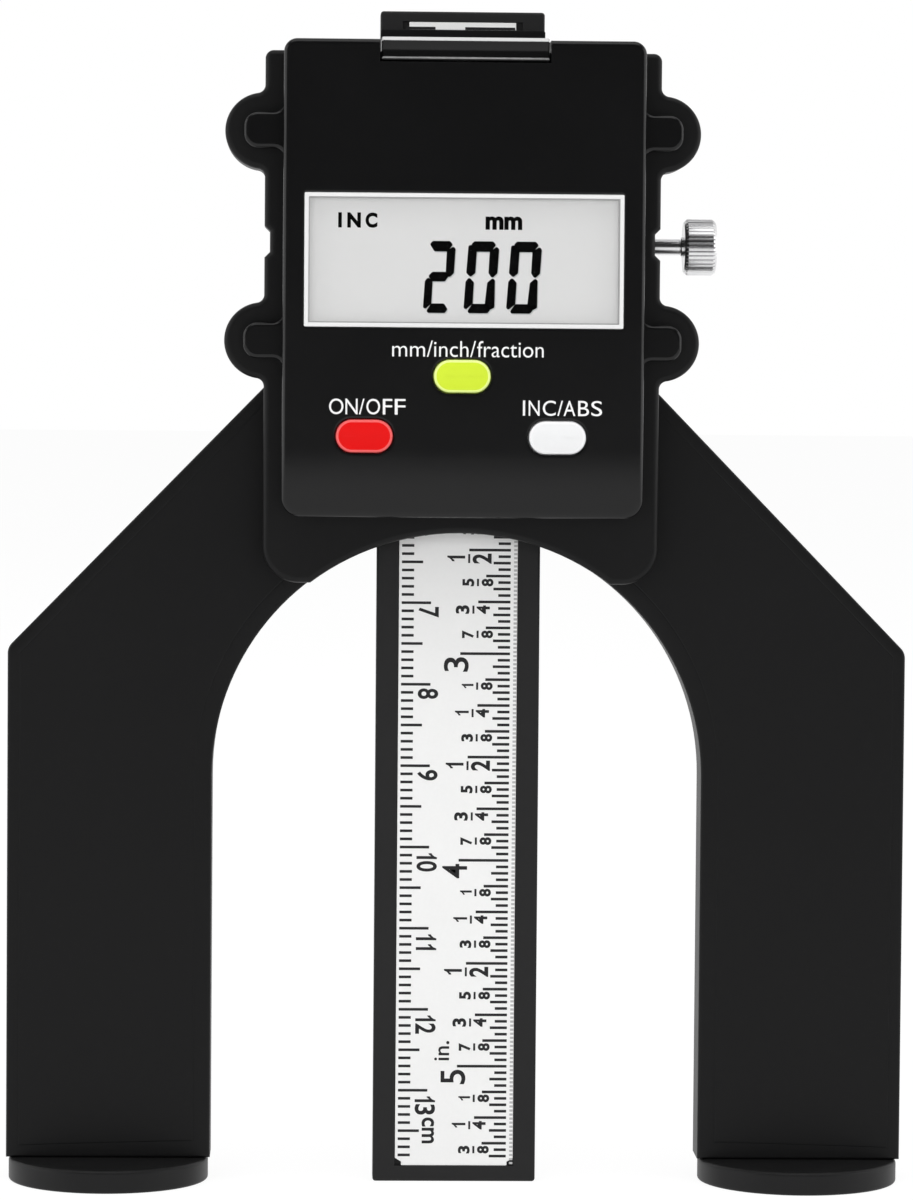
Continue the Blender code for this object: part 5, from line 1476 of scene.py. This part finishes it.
def makeScrewTree():
    # Sizes are shares of the head's radius; each point carries its facing and radius.
    tree, start, end = geometryTree(
        "crossHeadScrews",
        [("Thickness", "NodeSocketFloat", 0.5), ("Dome", "NodeSocketFloat", 0.2),
         ("Slot Width", "NodeSocketFloat", 0.3), ("Slot Length", "NodeSocketFloat", 1.2),
         ("Slot Depth", "NodeSocketFloat", 0.3)])
    disc = addNode(tree, "GeometryNodeMeshCylinder",
                   {"Vertices": 48, "Side Segments": 3, "Fill Segments": 8, "Radius": 1.0,
                    "Depth": start.outputs["Thickness"]})
    point = addNode(tree, "GeometryNodeInputPosition").outputs[0]
    split = addNode(tree, "ShaderNodeSeparateXYZ", {0: point})
    away = maths(tree, "SQRT", maths(
        tree, "ADD", maths(tree, "POWER", split.outputs["X"], 2.0),
        maths(tree, "POWER", split.outputs["Y"], 2.0)))
    upper = maths(tree, "GREATER_THAN", split.outputs["Z"], 0.0)
    drop = times(tree, maths(tree, "POWER", away, 3.0), start.outputs["Dome"])
    height = maths(tree, "SUBTRACT", split.outputs["Z"], times(tree, drop, upper))
    domed = vector(tree, split.outputs["X"], split.outputs["Y"], height)
    head = addNode(tree, "GeometryNodeSetPosition", {"Geometry": disc.outputs["Mesh"],
                                                    "Position": domed})
    cut = addNode(tree, "GeometryNodeMeshBoolean", {"Mesh 1": head.outputs[0]},
                  operation="DIFFERENCE")
    for turn in (0.0, math.pi / 2):
        size = vector(tree, start.outputs["Slot Length"], start.outputs["Slot Width"],
                      times(tree, start.outputs["Slot Depth"], 2.0))
        cube = addNode(tree, "GeometryNodeMeshCube", {"Size": size})
        rise = vector(tree, z=times(tree, start.outputs["Thickness"], 0.5))
        bar = addNode(tree, "GeometryNodeTransform",
                      {"Geometry": cube.outputs["Mesh"], "Translation": rise,
                       "Rotation": (0.0, 0.0, turn)})
        wire(tree, bar.outputs[0], cut.inputs["Mesh 2"])
    facing = addNode(tree, "GeometryNodeInputNamedAttribute", {"Name": "facing"},
                     data_type="FLOAT_VECTOR")
    size = addNode(tree, "GeometryNodeInputNamedAttribute", {"Name": "headRadius"},
                   data_type="FLOAT")
    aim = addNode(tree, "FunctionNodeAlignRotationToVector",
                  {"Vector": facing.outputs["Attribute"]}, axis="Z")
    heads = addNode(tree, "GeometryNodeInstanceOnPoints",
                    {"Points": start.outputs["Geometry"], "Instance": cut.outputs[0],
                     "Rotation": aim.outputs[0], "Scale": size.outputs["Attribute"]})
    closeTree(tree, start, end, heads.outputs[0])
    return tree


def makeScrews(look):
    places = []
    sink = look["thickness"] / 2
    for screw in cornerScrews["shell"] + cornerScrews["casing"]:
        middle, radius = middleOf(screw), look["smallRadius"]
        back = span(screw)[1].y
        places.append(((middle.x, back - sink * radius, middle.z), (0, 1, 0), radius))
    for screw in footScrews:
        middle, radius = middleOf(screw), look["footRadius"]
        low = span(screw)[0].z
        places.append(((middle.x, middle.y, low + sink * radius), (0, 0, -1), radius))
    mesh = bpy.data.meshes.new("screwPoints")
    mesh.from_pydata([Vector(p) * mm for p, _, _ in places], [], [])
    facing = mesh.attributes.new("facing", "FLOAT_VECTOR", "POINT")
    facing.data.foreach_set("vector", [c for _, way, _ in places for c in way])
    radii = mesh.attributes.new("headRadius", "FLOAT", "POINT")
    radii.data.foreach_set("value", [radius * mm for _, _, radius in places])
    heads = runTree("screwHeads", makeScrewTree(),
                    {"Thickness": look["thickness"], "Dome": look["dome"],
                     "Slot Width": look["slotWidth"], "Slot Length": look["slotLength"],
                     "Slot Depth": look["slotDepth"], "Material": finishes["steel"]}, mesh)
    smoothShading(heads.data, 30.0)
    place(heads, "base", "steel", *cornerScrews["shell"], *cornerScrews["casing"],
          *footScrews)


makeScrews(screwLook)
print("screws done")


# CAD pieces that stay take the finish of their material slot
carried = {"black_plastic": ["base_frame", "rear_shell", "ruler_bar"],
           "casing_plastic": ["front_casing", "battery_tray"],
           "dark_nickel": ["foot_left", "foot_right"],
           "magnet": ["magnet_left", "magnet_right"],
           "steel": footScrews + ["bar_stop_top", "bar_stop_tip", "lock_screw"]
           + cornerScrews["casing"] + cornerScrews["shell"],
           "white_film": ["scale_label", "lcd_bezel"],
           "copper_strip": ["sensor_strip"], "clear_window": ["window_lens"],
           "display_glass": ["lcd_panel"], "contact_rubber": ["contact_strip"],
           "board": ["circuit_board"], "chip_resin": ["sensor_chip"],
           "switch_plastic": ["switch_unit", "switch_power", "switch_mode"],
           "cell_can": ["coin_cell"], "spring_bronze": ["contact_negative",
                                                        "contact_positive", "guide_spring"],
           "brass": ["lock_nut"], "nylon": ["lock_pad"], "yellow_green": ["button_unit"],
           "red": ["button_power"], "button_white": ["button_mode"]}
for finish, names in carried.items():
    for name in names:
        nodes[name].data.materials.clear()
        nodes[name].data.materials.append(finishes[finish])
print("finishes set on the carried pieces")


# Studio: white floor and backdrop, soft lamps
studioLook = {"floorHalf": 9.0, "floorFront": 1.1, "floorColour": (0.80, 0.80, 0.80),
              "fill": 0.50, "frontMirror": 0.03, "mirrorTurn": (-0.1, 0.5),
              "floorWhite": 0.82, "floorMirror": 0.9, "floorGlow": 1.10}
lamps = {"topBox": {"place": (0.0, -0.45, 1.5), "aim": (0, 0, 0.07), "size": (1.6, 1.0),
                    "power": 9.0, "mirrored": True},
         "leftBox": {"place": (-1.3, -0.25, 0.35), "aim": (0, 0, 0.08), "size": (1.2, 1.2),
                     "power": 7.0, "mirrored": True},
         "rightBox": {"place": (1.3, -0.25, 0.35), "aim": (0, 0, 0.08), "size": (1.2, 1.2),
                      "power": 7.0, "mirrored": True},
         "frontBox": {"place": (-0.1, -1.5, 0.18), "aim": (0, 0, 0.08), "size": (1.4, 0.6),
                      "power": 10.5, "mirrored": False}}


def rayLevel(tree, camera, mirror, other):
    # One level for camera and transmission rays, one for reflections, one for the rest.
    rays = addNode(tree, "ShaderNodeLightPath")
    seen = maths(tree, "MAXIMUM", rays.outputs["Is Camera Ray"],
                 rays.outputs["Is Transmission Ray"])
    level = maths(tree, "ADD", other, times(tree, seen, camera - other))
    return maths(tree, "ADD", level, times(tree, rays.outputs["Is Glossy Ray"],
                                           maths(tree, "SUBTRACT", mirror, other)))


def makeStudio(look):
    world = bpy.data.worlds.new("studio")
    bpy.context.scene.world = world
    world.use_nodes = True
    tree = world.node_tree
    background = tree.nodes["Background"]
    background.inputs["Color"].default_value = (1, 1, 1, 1)
    # reflections see the white backdrop behind the object and a darker room in front
    direction = addNode(tree, "ShaderNodeTexCoord").outputs["Generated"]
    across = addNode(tree, "ShaderNodeSeparateXYZ", {0: direction})
    mirror = ranged(tree, across.outputs["Y"], *look["mirrorTurn"], look["frontMirror"])
    wire(tree, rayLevel(tree, 1.0, mirror, look["fill"]),
         background.inputs["Strength"])
    material = bpy.data.materials.new("studioFloor")
    material.use_nodes = True
    tree = material.node_tree
    shader = tree.nodes["Principled BSDF"]
    shader.inputs["Base Color"].default_value = (*look["floorColour"], 1)
    shader.inputs["Roughness"].default_value = 0.9
    shader.inputs["Specular IOR Level"].default_value = 0.0
    glow = addNode(tree, "ShaderNodeEmission",
                   {"Color": (1, 1, 1, 1), "Strength": look["floorGlow"]})
    level = rayLevel(tree, look["floorWhite"], look["floorMirror"], 0.0)
    mixed = addNode(tree, "ShaderNodeMixShader",
                    {0: level, 1: shader.outputs[0], 2: glow.outputs[0]})
    wire(tree, mixed.outputs[0], tree.nodes["Material Output"].inputs[0])
    shape = bmesh.new()
    half, front = look["floorHalf"], look["floorFront"]
    corners = [(-half, -front, 0), (half, -front, 0), (half, half, 0), (-half, half, 0)]
    shape.faces.new([shape.verts.new(corner) for corner in corners])
    mesh = bpy.data.meshes.new("floor")
    shape.to_mesh(mesh)
    shape.free()
    mesh.materials.append(material)
    floor = linked("floor", mesh)
    for name, lamp in lamps.items():
        data = bpy.data.lights.new(name, "AREA")
        data.shape = "RECTANGLE"
        data.size, data.size_y = lamp["size"]
        data.energy = lamp["power"]
        holder = linked(name, data)
        holder.location = lamp["place"]
        aim = Vector(lamp["aim"]) - Vector(lamp["place"])
        holder.rotation_mode = "QUATERNION"
        holder.rotation_quaternion = aim.to_track_quat("-Z", "Y")
        holder.visible_camera = False
        holder.visible_glossy = lamp["mirrored"]


makeStudio(studioLook)
bpy.context.scene.view_settings.view_transform = "Standard"
print("studio ready")
